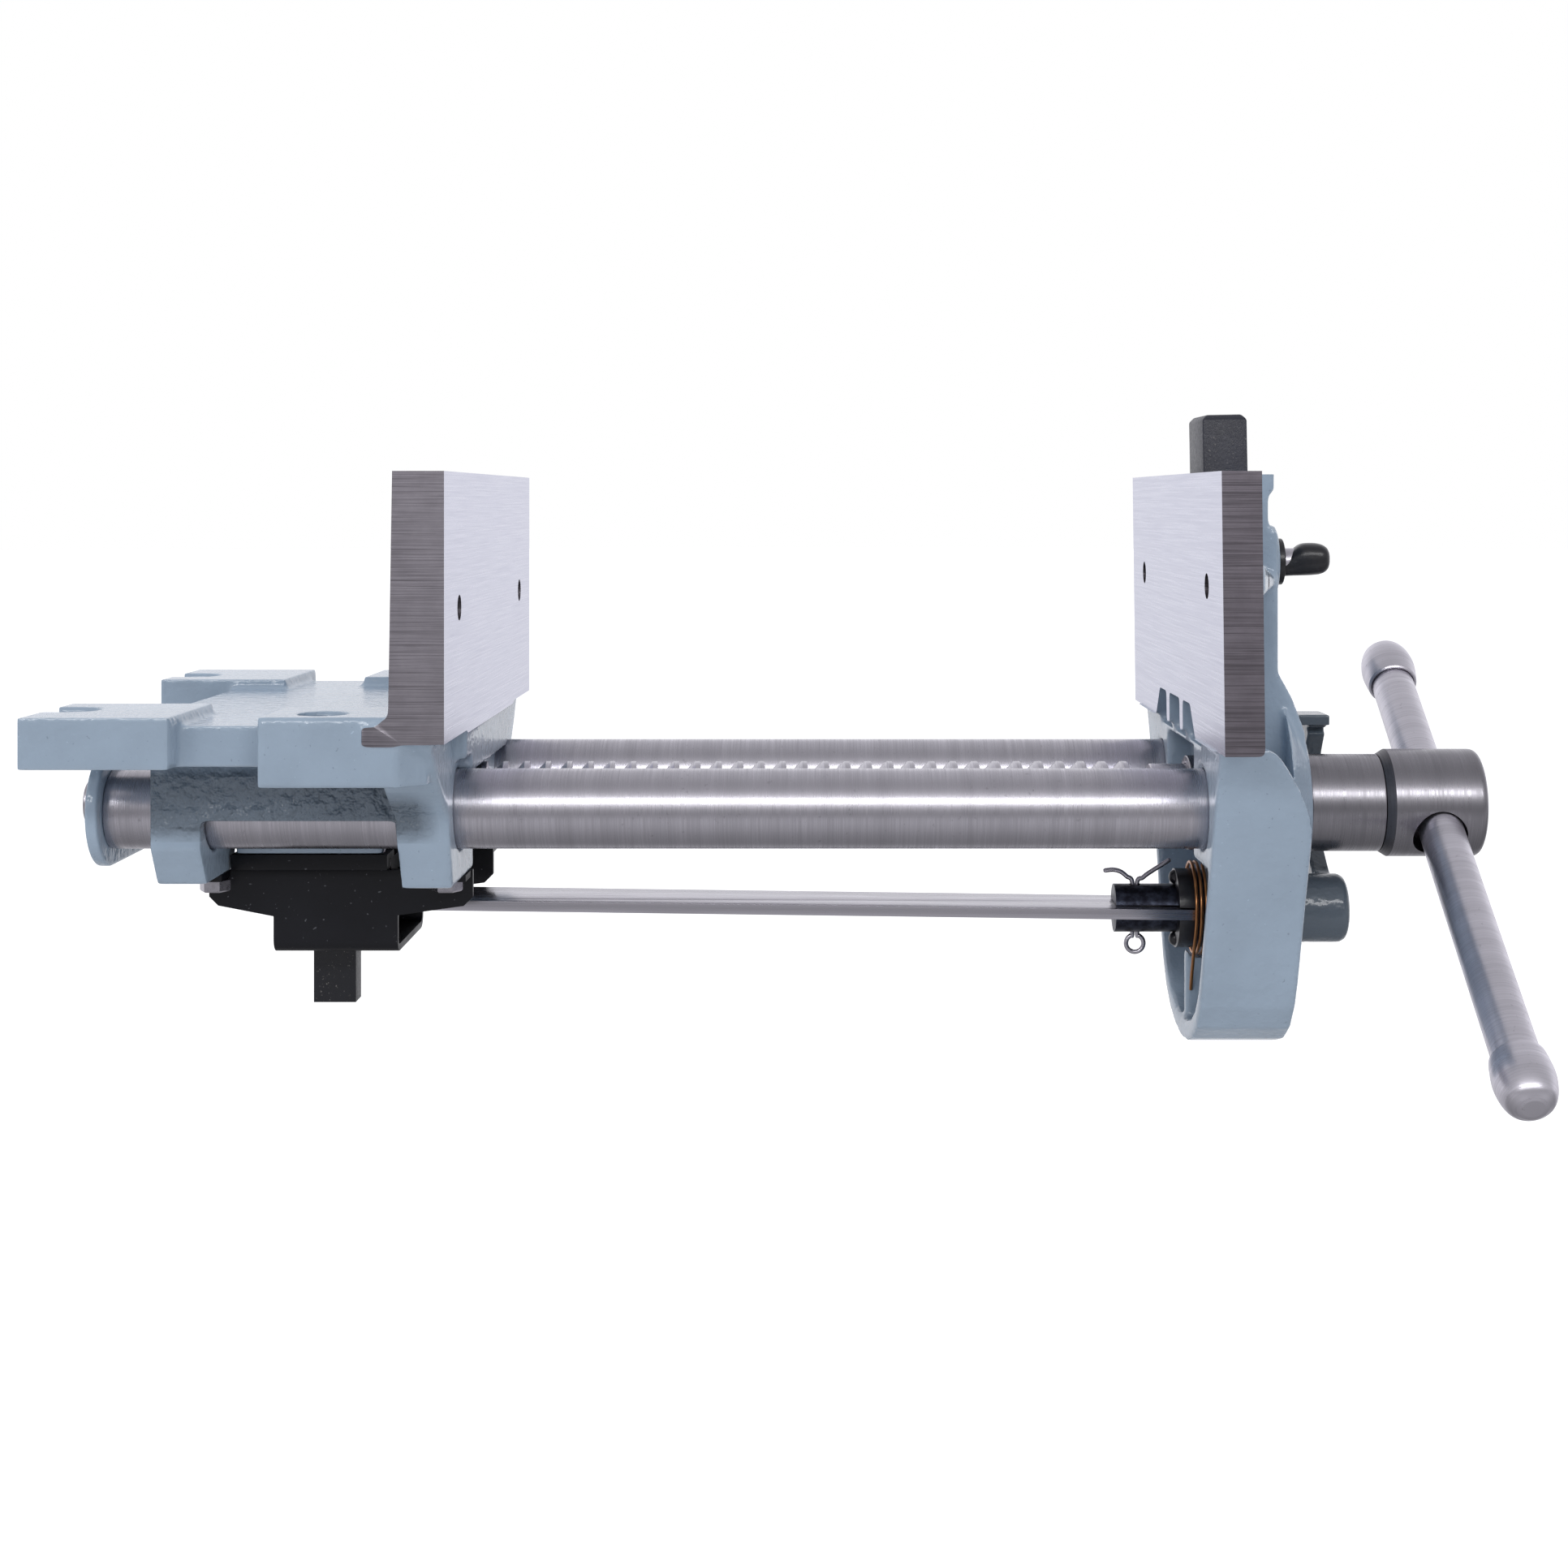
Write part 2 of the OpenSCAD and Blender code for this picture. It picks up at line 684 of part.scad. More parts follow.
module guide_screws() color(steel) both_sides() for (x = guide_screw_x) {
    seat = -guide_bottom + guide_head_h - seat_gap / 2;
    rod_along_z(guide_screw_d, [seat - guide_head_h, -rib_drop + guide_screw_grip - seat_gap], x,
        guide_screw_y);
    rod_along_z(guide_head_d, [seat - guide_head_h, seat], x, guide_screw_y);
}

// Half nut
groove_w = lead - crest_w - thread_h - face_lean;
root_r = thread_d / 2 - thread_h;

// Where the groove's floor starts on the world's x axis, at an angle round the screw
function groove_x(angle, turn) = -nut_back + lead * (angle / 360 + turn);

// Section of one nut tooth: x from the groove's start, radius
tooth_section = [[face_lean + tooth_slack, tooth_tip_r], [groove_w + tooth_tip_r - root_r - tooth_slack,
    tooth_tip_r],
    [groove_w + tooth_base_r - root_r - tooth_slack, tooth_base_r], [face_lean + tooth_slack, tooth_base_r]];

module nut_tooth(turn) {
    start = 270 - tooth_arc / 2;
    corners = len(tooth_section);
    points = [for (i = [0:tooth_steps], p = tooth_section)
        let (a = start + tooth_arc * i / tooth_steps)
        [groove_x(a, turn) + p[0], p[1] * cos(a), screw_z + p[1] * sin(a)]];
    faces = wire_faces(tooth_steps + 1, corners);
    polyhedron(points = points, faces = faces);
}

module half_nut() color(black) {
    x = [-nut_back, -nut_front];
    floor_z = -floor_top;
    difference() {
        union() {
            box(x, [-nut_half_w, nut_half_w], [-window_top, -nut_top]);
            box(x, [-post_half_w, post_half_w], [-window_top, -shoulder_top]);
        }
        rod_along_x(2 * nut_bore_r, [x[0] - cut, x[1] + cut], 0, screw_z);
    }
    both_sides() {
        box(x, [window_half_w, post_half_w], [floor_z - floor_t, -window_top]);
        box([-nut_front - ear_h, -slit[1]], [window_half_w, post_half_w], [-ear_drop[1], -ear_drop[0]]);
        box([-slit[0] + slack, -ear_front], [window_half_w, ear_half_w], [-ear_drop[1], -ear_drop[0]]);
    }
    prism_x([[-post_half_w + floor_t, floor_z - floor_t], [post_half_w - floor_t, floor_z - floor_t],
        [post_half_w, floor_z], [-post_half_w, floor_z]], x);
    box([-tail_back, -tail_front], [-tail_t / 2, tail_t / 2], [-tail_end_drop, floor_z]);
    for (turn = [0:nut_teeth - 1]) nut_tooth(turn);
}

// Nut springs
function coil(x, y, z, d, curls) = [for (i = [0:curls * curl_rings])
    let (a = 360 * i / curl_rings, share = i / (curls * curl_rings))
    [x + d / 2 * cos(a), y + d / 2 * sin(a), z[0] + (z[1] - z[0]) * share]];

module nut_springs() color(steel) both_sides()
    wire(coil(nut_spring_x, nut_spring_y, [nut_spring_low, nut_spring_high], nut_coil_d, nut_curls),
        nut_wire_d, wire_sides, [0, 0, 1]);

// Least gap of a wire to itself, between points at least half a curl apart
function least_gap(path, d) = min([for (i = [0:len(path) - 1 - curl_rings / 2])
    for (j = [i + curl_rings / 2:len(path) - 1]) norm(path[i] - path[j])]) - d;

echo(nut_spring_least_gap = least_gap(coil(nut_spring_x, nut_spring_y, [nut_spring_low, nut_spring_high],
    nut_coil_d, nut_curls), nut_wire_d));

// Front jaw casting, placed from the front jaw's face
apron_h = apron_drop - front_plate_drop;

function apron_half() = concat(
    [for (p = apron_side_shares) [apron_half_w + p[0] * (apron_shoulder - apron_half_w),
        -front_plate_drop - p[1] * apron_h]],
    [for (p = apron_bowl_shares) [apron_half_w * p[0], -front_plate_drop - p[1] * apron_h]]);

// The hollow follows the outline at the wall's and the floor's thickness
function hollow_half() = [for (p = apron_half()) let (share = (-beam_drop - p[1]) / (apron_drop - beam_drop))
    [p[0] * (1 - apron_wall / apron_half_w), p[1] + apron_floor_t * share]];

function nose() = [for (p = nose_shares) [front_plate_t + p[0] * (apron_x - front_plate_t),
    -front_plate_drop - p[1] * apron_h]];

module front_plate() {
    prism_y([[0, jaw_h], [plate_low_x, -front_plate_drop], [plate_low_x + front_plate_t, -front_plate_drop],
        [front_plate_t, jaw_h]], [-mouth_y, mouth_y]);
}

module dog_housing() {
    back = housing_x;
    notch_z = [jaw_h - housing_lip_t - housing_notch[1], jaw_h - housing_lip_t];
    flare = [for (p = housing_flare) [p[1], p[0]]];
    prism_y(concat([[front_plate_t - cut, jaw_h], [lip_x, jaw_h], [lip_x, notch_z[1]],
        [lip_x - housing_notch[0], notch_z[1] - housing_notch[0]], [lip_x - housing_notch[0], notch_z[0]],
        [back, notch_z[0] - back + lip_x - housing_notch[0]]], flare, [[front_plate_t - cut,
            housing_flare[4][0]]]),
        [-housing_half_w, housing_half_w]);
    rod_along_x(thumb_boss_d, [front_plate_t, thumb_boss_x], 0, thumb_z);
}

// One cheek rib's outline seen from above, and its bevelled section
module plate_ribs() {
    root_z = front_cheek_z - rib_plate_t[1] / 2;
    both_sides() intersection() {
        translate([0, 0, root_z]) linear_extrude(rib_plate_t[0])
            polygon([[front_plate_t - cut, 0], [front_plate_t + rib_plate_x, 0],
                [front_plate_t + rib_plate_x, housing_half_w],
                [front_plate_t + cheek_boss_t / 2, mouth_y - cheek_boss_t],
                [front_plate_t - cut, mouth_y - cheek_boss_t]]);
        prism_y([[front_plate_t - cut, root_z + rib_plate_t[0]], [front_plate_t, root_z + rib_plate_t[0]],
            [front_plate_t + rib_plate_x, root_z + rib_plate_t[1]], [front_plate_t + rib_plate_x, root_z],
            [front_plate_t - cut, root_z]], [-cut, mouth_y]);
    }
    both_sides() rod_along_x(cheek_boss_d, [front_plate_t - cut, front_plate_t + cheek_boss_t],
        front_cheek_pitch / 2, front_cheek_z);
}

module web() {
    difference() {
        box([rim_x + web_set, apron_x], [-web_t / 2, web_t / 2], [-apron_drop, -web_drop]);
        rod_along_x(2 * web_notch_r, web_notch, 0, release_z);
    }
    box([web_notch[1], apron_x], [-web_t / 2, web_t / 2], [-apron_drop, release_z]);
}

module apron() {
    difference() {
        intersection() {
            prism_x(mirrored(apron_half()), [rim_x, apron_x + cut]);
            prism_y(concat([[rim_x, -front_plate_drop]], nose(), [[rim_x, -apron_drop]]), [-mouth_y,
                mouth_y]);
        }
        difference() {
            prism_x(mirrored(hollow_half()), [rim_x - cut, apron_x - apron_front_t]);
            box([rim_x - cut, apron_x], [-mouth_y, mouth_y], [-beam_drop, 0]);
            web();
        }
    }
    rod_along_x(release_boss_d, [release_boss_back, release_boss_front], 0, release_z);
    rod_along_x(boss_d, [front_plate_t, boss_x], 0, screw_z);
    translate([apron_x - seat_gap, 0, screw_z]) rotate([0, 90, 0])
        cylinder(r1 = boss_foot_r, r2 = boss_d / 2, h = boss_x - apron_x);
}

module face_pocket() {
    difference() {
        union() {
            box([-cut, pocket_depth], [-pocket_half_w, pocket_half_w], [-pocket_drop,
                pocket_top - pocket_arch]);
            prism_x([[-pocket_half_w, pocket_top - pocket_arch], [pocket_half_w, pocket_top - pocket_arch],
                [pocket_half_w - pocket_arch, pocket_top], [-pocket_half_w + pocket_arch, pocket_top]],
                [-cut, pocket_depth]);
        }
        both_sides() box([-cut, pocket_depth + cut], [pocket_rib_y - pocket_rib_t / 2,
            pocket_rib_y + pocket_rib_t / 2],
            [-pocket_drop - cut, cut]);
    }
}

module dog_slot() {
    translate([dog_x, 0, 0]) rotate([0, -dog_lean, 0])
        box([-dog_gap, dog_t + dog_gap], [-dog_w / 2 - dog_gap, dog_w / 2 + dog_gap], [-core_top - cut,
            jaw_h + 2 * cut]);
}

module front_jaw() color(paint) translate([opening, 0, 0]) difference() {
    union() {
        front_plate();
        dog_housing();
        plate_ribs();
        apron();
    }
    face_pocket();
    dog_slot();
    box([beam_x - cut, core_x], [-core_half_w, core_half_w], [-beam_drop - cut, -core_top]);
    rod_along_x(shank_d + 2 * running_fit, [0, boss_x + cut], 0, screw_z);
    rod_along_x(shaft_d + 2 * running_fit, [release_boss_back - cut, release_boss_front + cut], 0, release_z);
    rod_along_x(hub_d + 2 * hub_relief, [release_boss_front, boss_x + cut], 0, release_z);
    rod_along_x(thumb_d + 2 * running_fit, [dog_x + dog_t / 2, thumb_boss_x + cut], 0, thumb_z);
    both_sides() {
        rod_along_x(rod_d + 2 * fixed_fit, [0, rod_end_x + seat_gap], rod_y, rod_z);
        rod_along_x(cheek_hole_d, [-cut, front_plate_t + cheek_boss_t + cut], front_cheek_pitch / 2,
            front_cheek_z);
    }
}

// Rods and tie plate
module guide_rod(side) color(steel) {
    rod_along_x(rod_d, [rod_back_x, opening + rod_end_x], side * rod_y, rod_z);
    rod_along_x(spigot_d, [tie_back_x - seat_gap / 2, rod_back_x + cut], side * rod_y, rod_z);
    rod_along_x(rivet_d, [tie_back_x - seat_gap / 2 - rivet_t, tie_back_x - seat_gap / 2], side * rod_y,
        rod_z);
}

module near_guide_rod() guide_rod(-1);

module far_guide_rod() guide_rod(1);

module tie_plate() color(paint) difference() {
    union() {
        box([tie_back_x, tie_front_x], [-rod_y, rod_y], [rod_z - tie_r, rod_z + tie_r]);
        both_sides() rod_along_x(2 * tie_r, [tie_back_x, tie_front_x], rod_y, rod_z);
    }
    both_sides() rod_along_x(spigot_d + 2 * fixed_fit, [tie_back_x - cut, tie_front_x + cut], rod_y, rod_z);
    rod_along_x(tail_d + 2 * running_fit, [tie_back_x - cut, tie_front_x + cut], 0, screw_z);
}

// Screw with its buttress thread
thread_steps = thread_turns * thread_sides;
thread_run_out = lead / 4;
thread_last_turn = round((opening + thread_end_x - thread_run_out + nut_back) / lead);
thread_phase = groove_x(0, thread_last_turn - thread_turns - 1) - opening;
thread_ends = [thread_phase - thread_run_out, thread_phase + (thread_turns + 1) * lead + thread_run_out];

function thread_fade(j) = min(1, j / (thread_fade_share * thread_sides),
    (thread_steps - j) / (thread_fade_share * thread_sides));

// Thread profile over one lead: x, height over the root
thread_profile = [[0, 0], [groove_w, 0], [groove_w + thread_h, thread_h], [lead - face_lean, thread_h]];

thread_points = concat(
    [for (j = [0:thread_steps], p = thread_profile)
        let (a = 360 * j / thread_sides, r = root_r + p[1] * thread_fade(j))
        [thread_phase + lead * j / thread_sides + p[0], r * cos(a), r * sin(a)]],
    [for (j = [thread_steps + 1:thread_steps + thread_sides])
        let (a = 360 * j / thread_sides)
        [thread_phase + lead * j / thread_sides, root_r * cos(a), root_r * sin(a)]],
    [for (j = [0:thread_sides - 1], x = thread_ends)
        let (a = 360 * j / thread_sides) [x, root_r * cos(a), root_r * sin(a)]]);

// Index of a profile point on a step, past the last step the plain root line
function ti(j, k) = k == 0 && j > thread_steps ? 4 * (thread_steps + 1) + j - thread_steps - 1 : 4 * j + k;

function ring_i(j, end) = 4 * (thread_steps + 1) + thread_sides + 2 * (j % thread_sides) + end;

function fan(tip, line) = [for (i = [0:len(line) - 2]) [tip, line[i], line[i + 1]]];

// Strip k of the thread between two steps: the floor and the crest are flat, the flanks are twisted
function thread_strip(j, k) =
    let (a = ti(j, k), b = ti(j + 1, k),
         c = k < 3 ? ti(j + 1, k + 1) : ti(j + 1 + thread_sides, 0),
         d = k < 3 ? ti(j, k + 1) : ti(j + thread_sides, 0))
    k % 2 == 0 ? [[a, b, c, d]] : [[a, b, c], [a, c, d]];

thread_outside = concat(
    [for (j = [0:thread_steps - 1], k = [0:3]) each thread_strip(j, k)],
    [for (j = [0:thread_sides - 2]) [ring_i(j, 0), ring_i(j + 1, 0), ti(j + 1, 0), ti(j, 0)]],
    fan(ring_i(thread_sides - 1, 0), [ring_i(0, 0), ti(0, 0), ti(0, 1), ti(0, 2), ti(0, 3),
        ti(thread_sides, 0),
        ti(thread_sides - 1, 0)]),
    [for (s = [thread_steps + 1:thread_steps + thread_sides - 1])
        [ti(s, 0), ti(s + 1, 0), ring_i(s + 1, 1), ring_i(s, 1)]],
    fan(ring_i(1, 1), [ring_i(0, 1), ti(thread_steps + thread_sides, 0), ti(thread_steps, 3),
        ti(thread_steps, 2),
        ti(thread_steps, 1), ti(thread_steps, 0), ti(thread_steps + 1, 0)]),
    [[for (j = [thread_sides - 1:-1:0]) ring_i(j, 0)]],
    [[for (j = [0:thread_sides - 1]) ring_i(j, 1)]]);

module main_screw() color(steel) translate([opening, 0, screw_z]) {
    polyhedron(points = thread_points, faces = [for (f = thread_outside) reversed(f)]);
    rod_along_x(shank_d, [thread_ends[1] - seat_gap, boss_fit_x], 0, 0);
    rod_along_x(journal_d, [boss_fit_x, head_x + spigot_l - seat_gap], 0, 0);
    rod_along_x(tail_shank_d, [tail_neck_x, thread_ends[0] + seat_gap], 0, 0);
    rod_along_x(tail_d, [tie_back_x - opening - tail_stub, tail_neck_x], 0, 0);
}

module ring(d_out, d_in, x) {
    difference() {
        rod_along_x(d_out, x, 0, 0);
        rod_along_x(d_in, [x[0] - cut, x[1] + cut], 0, 0);
    }
}

module thrust_washer() color(steel) translate([opening, 0, screw_z])
    ring(sleeve_d + 2 * washer_t, journal_d + 2 * fixed_fit, [boss_fit_x + seat_gap / 4,
        sleeve_x - seat_gap / 4]);

module screw_sleeve() color(steel) translate([opening, 0, screw_z])
    ring(sleeve_d, journal_d + 2 * fixed_fit, [sleeve_x, head_x - seat_gap / 4]);

module screw_head() color(steel) translate([opening + head_x, 0, screw_z]) difference() {
    rotate([0, 90, 0]) turned([[0, 0], [sleeve_d / 2, 0], [head_d / 2, head_chamfer_l],
        [head_d / 2, head_l - head_round], [head_d / 2 - head_round / 3, head_l - head_round / 3],
        [head_d / 2 - head_round, head_l], [0, head_l]]);
    rod_along_x(journal_d + 2 * fixed_fit, [-cut, spigot_l], 0, 0);
    rod_along_z(head_pin_d + 2 * fixed_fit, [-head_d, head_d], spigot_l / 2 + head_chamfer_l / 4, 0);
    translate([tommy_x - head_x, 0, 0]) rotate([tommy_tilt - 90, 0, 0])
        rod_along_z(tommy_hole_d, [-head_d, head_d], 0, 0);
}

module head_pin() color(steel) translate([opening + head_x, 0, screw_z])
    rod_along_z(head_pin_d, [journal_d / 2 + seat_gap, head_d / 2 - seat_gap],
        spigot_l / 2 + head_chamfer_l / 4, 0);

module retaining_collar() color(steel) translate([opening, 0, screw_z]) difference() {
    ring(collar_out_d, shank_d + 2 * fixed_fit, [collar_x, collar_x + collar_l]);
    rod_along_z(collar_pin_d + 2 * fixed_fit, [0, collar_out_d], collar_x + collar_l / 2, 0);
}

module collar_pin() color(steel) translate([opening, 0, screw_z])
    rod_along_z(collar_pin_d, [shank_d / 2 + seat_gap, collar_out_d / 2 - seat_gap],
        collar_x + collar_l / 2, 0);

// Tommy bar, along its own z before it is tilted
module on_tommy_axis() {
    translate([opening + tommy_x + tommy_shift[0], 0, screw_z]) rotate([tommy_tilt - 90, 0, 0])
        translate([0, tommy_shift[1], 0]) children();
}

module tommy_bar() color(steel) on_tommy_axis() {
    neck = [-lower_reach + knob_l / 2, upper_reach - knob_l / 2];
    rod_along_z(tommy_d, neck, 0, 0);
    rod_along_z(tommy_d * spigot_share, [neck[0] - knob_l / 2, neck[1] + knob_l / 2], 0, 0);
}

module tommy_knob() {
    bore_r = tommy_d * spigot_share / 2 + fixed_fit;
    difference() {
        turned(concat([[0, knob_shares[0][1] * knob_l]],
            [for (p = knob_shares) [p[0] * knob_d / 2, p[1] * knob_l]], [[0, knob_l]]));
        rod_along_z(2 * bore_r, [-cut, knob_l / 2 + seat_gap], 0, 0);
    }
}

module upper_knob() color(steel) on_tommy_axis() translate([0, 0, upper_reach - knob_l / 2]) tommy_knob();

module lower_knob() color(steel) on_tommy_axis() translate([0, 0, -lower_reach + knob_l / 2]) mirror([0,
    0, 1])
    tommy_knob();

// Trigger lever: hub, bent arm on the far side, finger pad
function along(line, i) = unit(line[min(i + 1, len(line) - 1)] - line[max(i - 1, 0)]);

function side_line(line, side) = [for (i = [0:len(line) - 1])
    let (t = along(line, i)) line[i] + side * arm_half_w * [t[1], -t[0]]];

module trigger_lever() color(paint) translate([opening, 0, release_z]) {
    arm_points = concat(side_line(arm_line, 1), reversed(side_line(arm_line, -1)));
    hub_l = hub_front_x - hub_back_x;
    finger_z = release_drop - finger_drop;
    top = arm_line[len(arm_line) - 1];
    difference() {
        union() {
            translate([hub_back_x, 0, 0]) rotate([0, 90, 0]) turned([[0, 0], [hub_d / 2, 0],
                [hub_d / 2, hub_l - hub_round], [hub_d / 2 - hub_round / 3, hub_l - hub_round / 3],
                [hub_d / 2 - hub_round, hub_l], [0, hub_l]]);
            prism_x(arm_points, [arm_x, arm_x + arm_t]);
        }
        rod_along_x(shaft_d + 2 * fixed_fit, [hub_back_x - cut, shaft_front_x + seat_gap], 0, 0);
        rod_along_z(lever_pin_d + 2 * fixed_fit, [-hub_d, 0], (hub_back_x + arm_x) / 2, 0);
    }
    box([finger_back_x, finger_back_x + finger_l], finger_span, [finger_z - finger_h, finger_z]);
    box([arm_x, arm_x + arm_t], [top[0] - arm_half_w, top[0] + arm_half_w], [top[1] - cut,
        finger_z - finger_h]);
}

module lever_pin() color(steel) translate([opening, 0, release_z])
    rod_along_z(lever_pin_d, [-hub_d / 2 + seat_gap, -shaft_d / 2 - seat_gap / 2],
        (hub_back_x + arm_x) / 2, 0);

// Release shaft with the strip's slot and the cotter's hole
module release_shaft() color(steel) translate([opening, 0, release_z]) difference() {
    rod_along_x(shaft_d, [shaft_back_x, shaft_front_x], 0, 0);
    box([shaft_back_x - cut, strip_front_x + seat_gap], [-shaft_d, shaft_d], [-strip_slot_t / 2,
        strip_slot_t / 2]);
    rod_along_z(cotter_hole_d, [-shaft_d, shaft_d], cotter_x, 0);
}

module spring_collar() color(black) translate([opening, 0, release_z]) difference() {
    union() {
        rod_along_x(collar_d, [collar_back_x, collar_front_x], 0, 0);
        for (z = [-nub_z, nub_z]) {
            rod_along_x(2 * nub_r, [collar_back_x - nub_reach + nub_r, collar_back_x + nub_r], 0, z);
            translate([collar_back_x - nub_reach + nub_r, 0, z]) sphere(nub_r);
        }
    }
    rod_along_x(shaft_d + 2 * fixed_fit, [collar_back_x - nub_r - cut, collar_front_x + cut], 0, 0);
    box([collar_back_x - nub_r - cut, strip_front_x + seat_gap], [-collar_d, collar_d],
        [-strip_slot_t / 2, strip_slot_t / 2]);
}

module release_strip() color(steel) translate([opening + strip_pivot_x, 0, release_z]) rotate([0,
    strip_tilt, 0])
    difference() {
        box([strip_back_x - strip_pivot_x, strip_front_x - strip_pivot_x], [-strip_w / 2, strip_w / 2],
            [-strip_t / 2, strip_t / 2]);
        rod_along_z(cotter_hole_d, [-strip_t, strip_t], cotter_x - strip_pivot_x, 0);
    }

// Cotter pin: two legs through the shaft, a loop below, one curled and one straight end above
cotter_leg_x = cotter_wire_d / 2 + cotter_gap / 2;
cotter_loop_r = 2.6;
cotter_loop_steps = 10;
cotter_sides = 8;
cotter_over = [0.8, 0.6];            // straight wire below and above the shaft
cotter_mouth = 30;                   // half opening of the loop towards the legs, in degrees
cotter_low = -shaft_d / 2 - cotter_over[0];
cotter_high = shaft_d / 2 + cotter_over[1];
cotter_curl = [[-1.6, 1.6], [-3.4, 3], [-5.6, 3.6], [-8, 3.4]];
cotter_straight = [[1.6, 1.2], [3.4, 2.6], [9.4, 6.4]];

module cotter_pin() color(steel) translate([opening + cotter_x, 0, release_z]) wire(concat(
    [for (i = [len(cotter_curl) - 1:-1:0]) [cotter_curl[i][0] - cotter_leg_x, 0,
        cotter_high + cotter_curl[i][1]]],
    [[-cotter_leg_x, 0, cotter_high], [-cotter_leg_x, 0, cotter_low]],
    [for (i = [0:cotter_loop_steps]) let (a = 90 + cotter_mouth + i * (360 - 2 * cotter_mouth) / cotter_loop_steps)
        [cotter_loop_r * cos(a), 0, cotter_low - cotter_gap + cotter_loop_r * (sin(a) - 1)]],
    [[cotter_leg_x, 0, cotter_low], [cotter_leg_x, 0, cotter_high]],
    [for (p = cotter_straight) [p[0] + cotter_leg_x, 0, cotter_high + p[1]]]),
    cotter_wire_d, cotter_sides, [0, 1, 0]);

// Release spring: curls round the collar, one leg against the web, one hook at the collar
release_coil_r = release_coil_d / 2;
release_steps = round(release_curls * curl_rings);

function release_turn(i) = release_start - 360 * i / curl_rings;

release_path = concat(
    [[0, -release_leg[0], -release_leg[1]]],
    [for (i = [0:release_steps]) let (a = release_turn(i))
        [release_pitch * i / curl_rings, release_coil_r * cos(a), release_coil_r * sin(a)]],
    [let (a = release_turn(release_steps + 1)) [release_pitch * release_curls,
        (release_coil_r - release_hook) * cos(a), (release_coil_r - release_hook) * sin(a)]]);

echo(release_spring_least_gap = least_gap(release_path, release_wire_d));

module release_spring() color(copper) translate([opening + release_spring_x, 0, release_z])
    wire(release_path, release_wire_d, wire_sides, [1, 0, 0]);

// Bench dog and its thumbscrew
module bench_dog() color(black) translate([opening + dog_x, 0, 0]) rotate([0, -dog_lean, 0])
    intersection() {
        prism_y([[0, jaw_h + dog_up - dog_l], [dog_t, jaw_h + dog_up - dog_l], [dog_t,
            jaw_h + dog_up - dog_chamfer],
            [dog_t - dog_chamfer, jaw_h + dog_up], [dog_chamfer, jaw_h + dog_up],
            [0, jaw_h + dog_up - dog_chamfer]], [-dog_w / 2, dog_w / 2]);
        prism_x([[-dog_w / 2, jaw_h + dog_up - dog_l], [dog_w / 2, jaw_h + dog_up - dog_l],
            [dog_w / 2, jaw_h + dog_up - dog_chamfer], [dog_w / 2 - dog_chamfer, jaw_h + dog_up],
            [-dog_w / 2 + dog_chamfer, jaw_h + dog_up], [-dog_w / 2, jaw_h + dog_up - dog_chamfer]],
                [-cut, dog_t + cut]);
    }

thumb_tip_x = dog_x - thumb_z * tan(dog_lean) + dog_t / cos(dog_lean) + thumb_d / 2 * tan(dog_lean) + thumb_tip_gap;

module dog_screw() color(steel) translate([opening, 0, thumb_z])
    rod_along_x(thumb_d, [thumb_tip_x, thumb_tip_x + thumb_l], 0, 0);

module wing_knob() color(black) translate([opening + thumb_boss_x + seat_gap, 0, thumb_z]) difference() {
    union() {
        rod_along_x(flange_d, [0, flange_l], 0, 0);
        intersection() {
            translate([0, 0, -wing_t / 2]) linear_extrude(wing_t) {
                translate([flange_l - cut, -wing_w / 2]) square([wing_l - wing_w / 4, wing_w]);
                translate([flange_l + wing_l - wing_w / 2, 0]) circle(wing_w / 2);
            }
            rod_along_x(flange_d, [0, flange_l + wing_l], 0, 0);
        }
    }
    rod_along_x(thumb_d + 2 * fixed_fit, [-cut, thumb_tip_x + thumb_l - thumb_boss_x], 0, 0);
}

rear_jaw();
half_nut_guard();
guard_screws();
nut_guide();
guide_screws();
nut_springs();
half_nut();
front_jaw();
near_guide_rod();
far_guide_rod();
tie_plate();
release_spring();
main_screw();
thrust_washer();
screw_sleeve();
screw_head();
head_pin();
retaining_collar();
collar_pin();
tommy_bar();
upper_knob();
lower_knob();
trigger_lever();
lever_pin();
release_shaft();
spring_collar();
release_strip();
cotter_pin();
bench_dog();
dog_screw();
wing_knob();
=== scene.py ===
"""Finish and studio of a quick-release woodworking bench vise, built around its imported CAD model.

Metres, in the CAD model's frame: +X runs along the screw to the handle, +Y across the jaws, +Z up.
The origin is on the rear jaw's face, mid-width, level with the underside of the bench.
Outlines of turned pieces are written in millimetres.
"""

import math

import bmesh
import bpy
from bpy.props import FloatProperty, FloatVectorProperty, IntProperty, PointerProperty
from mathutils import Matrix, Vector


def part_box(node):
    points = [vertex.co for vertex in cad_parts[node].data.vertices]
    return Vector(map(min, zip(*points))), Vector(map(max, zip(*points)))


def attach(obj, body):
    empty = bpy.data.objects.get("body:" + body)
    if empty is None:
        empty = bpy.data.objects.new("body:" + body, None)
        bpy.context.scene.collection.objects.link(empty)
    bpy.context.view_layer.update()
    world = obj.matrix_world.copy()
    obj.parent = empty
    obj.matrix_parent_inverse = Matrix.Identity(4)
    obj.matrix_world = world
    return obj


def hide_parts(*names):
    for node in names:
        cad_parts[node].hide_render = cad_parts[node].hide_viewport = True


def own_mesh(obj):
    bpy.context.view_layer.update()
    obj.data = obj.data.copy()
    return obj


bl_info = {
    "name": "Bench vise finish",
    "version": (1, 0, 0),
    "blender": (4, 5, 0),
    "location": "3D View > Sidebar > Vise",
    "description": "Cast, turned and black pieces of a woodworking bench vise, with its studio",
    "category": "Object",
}

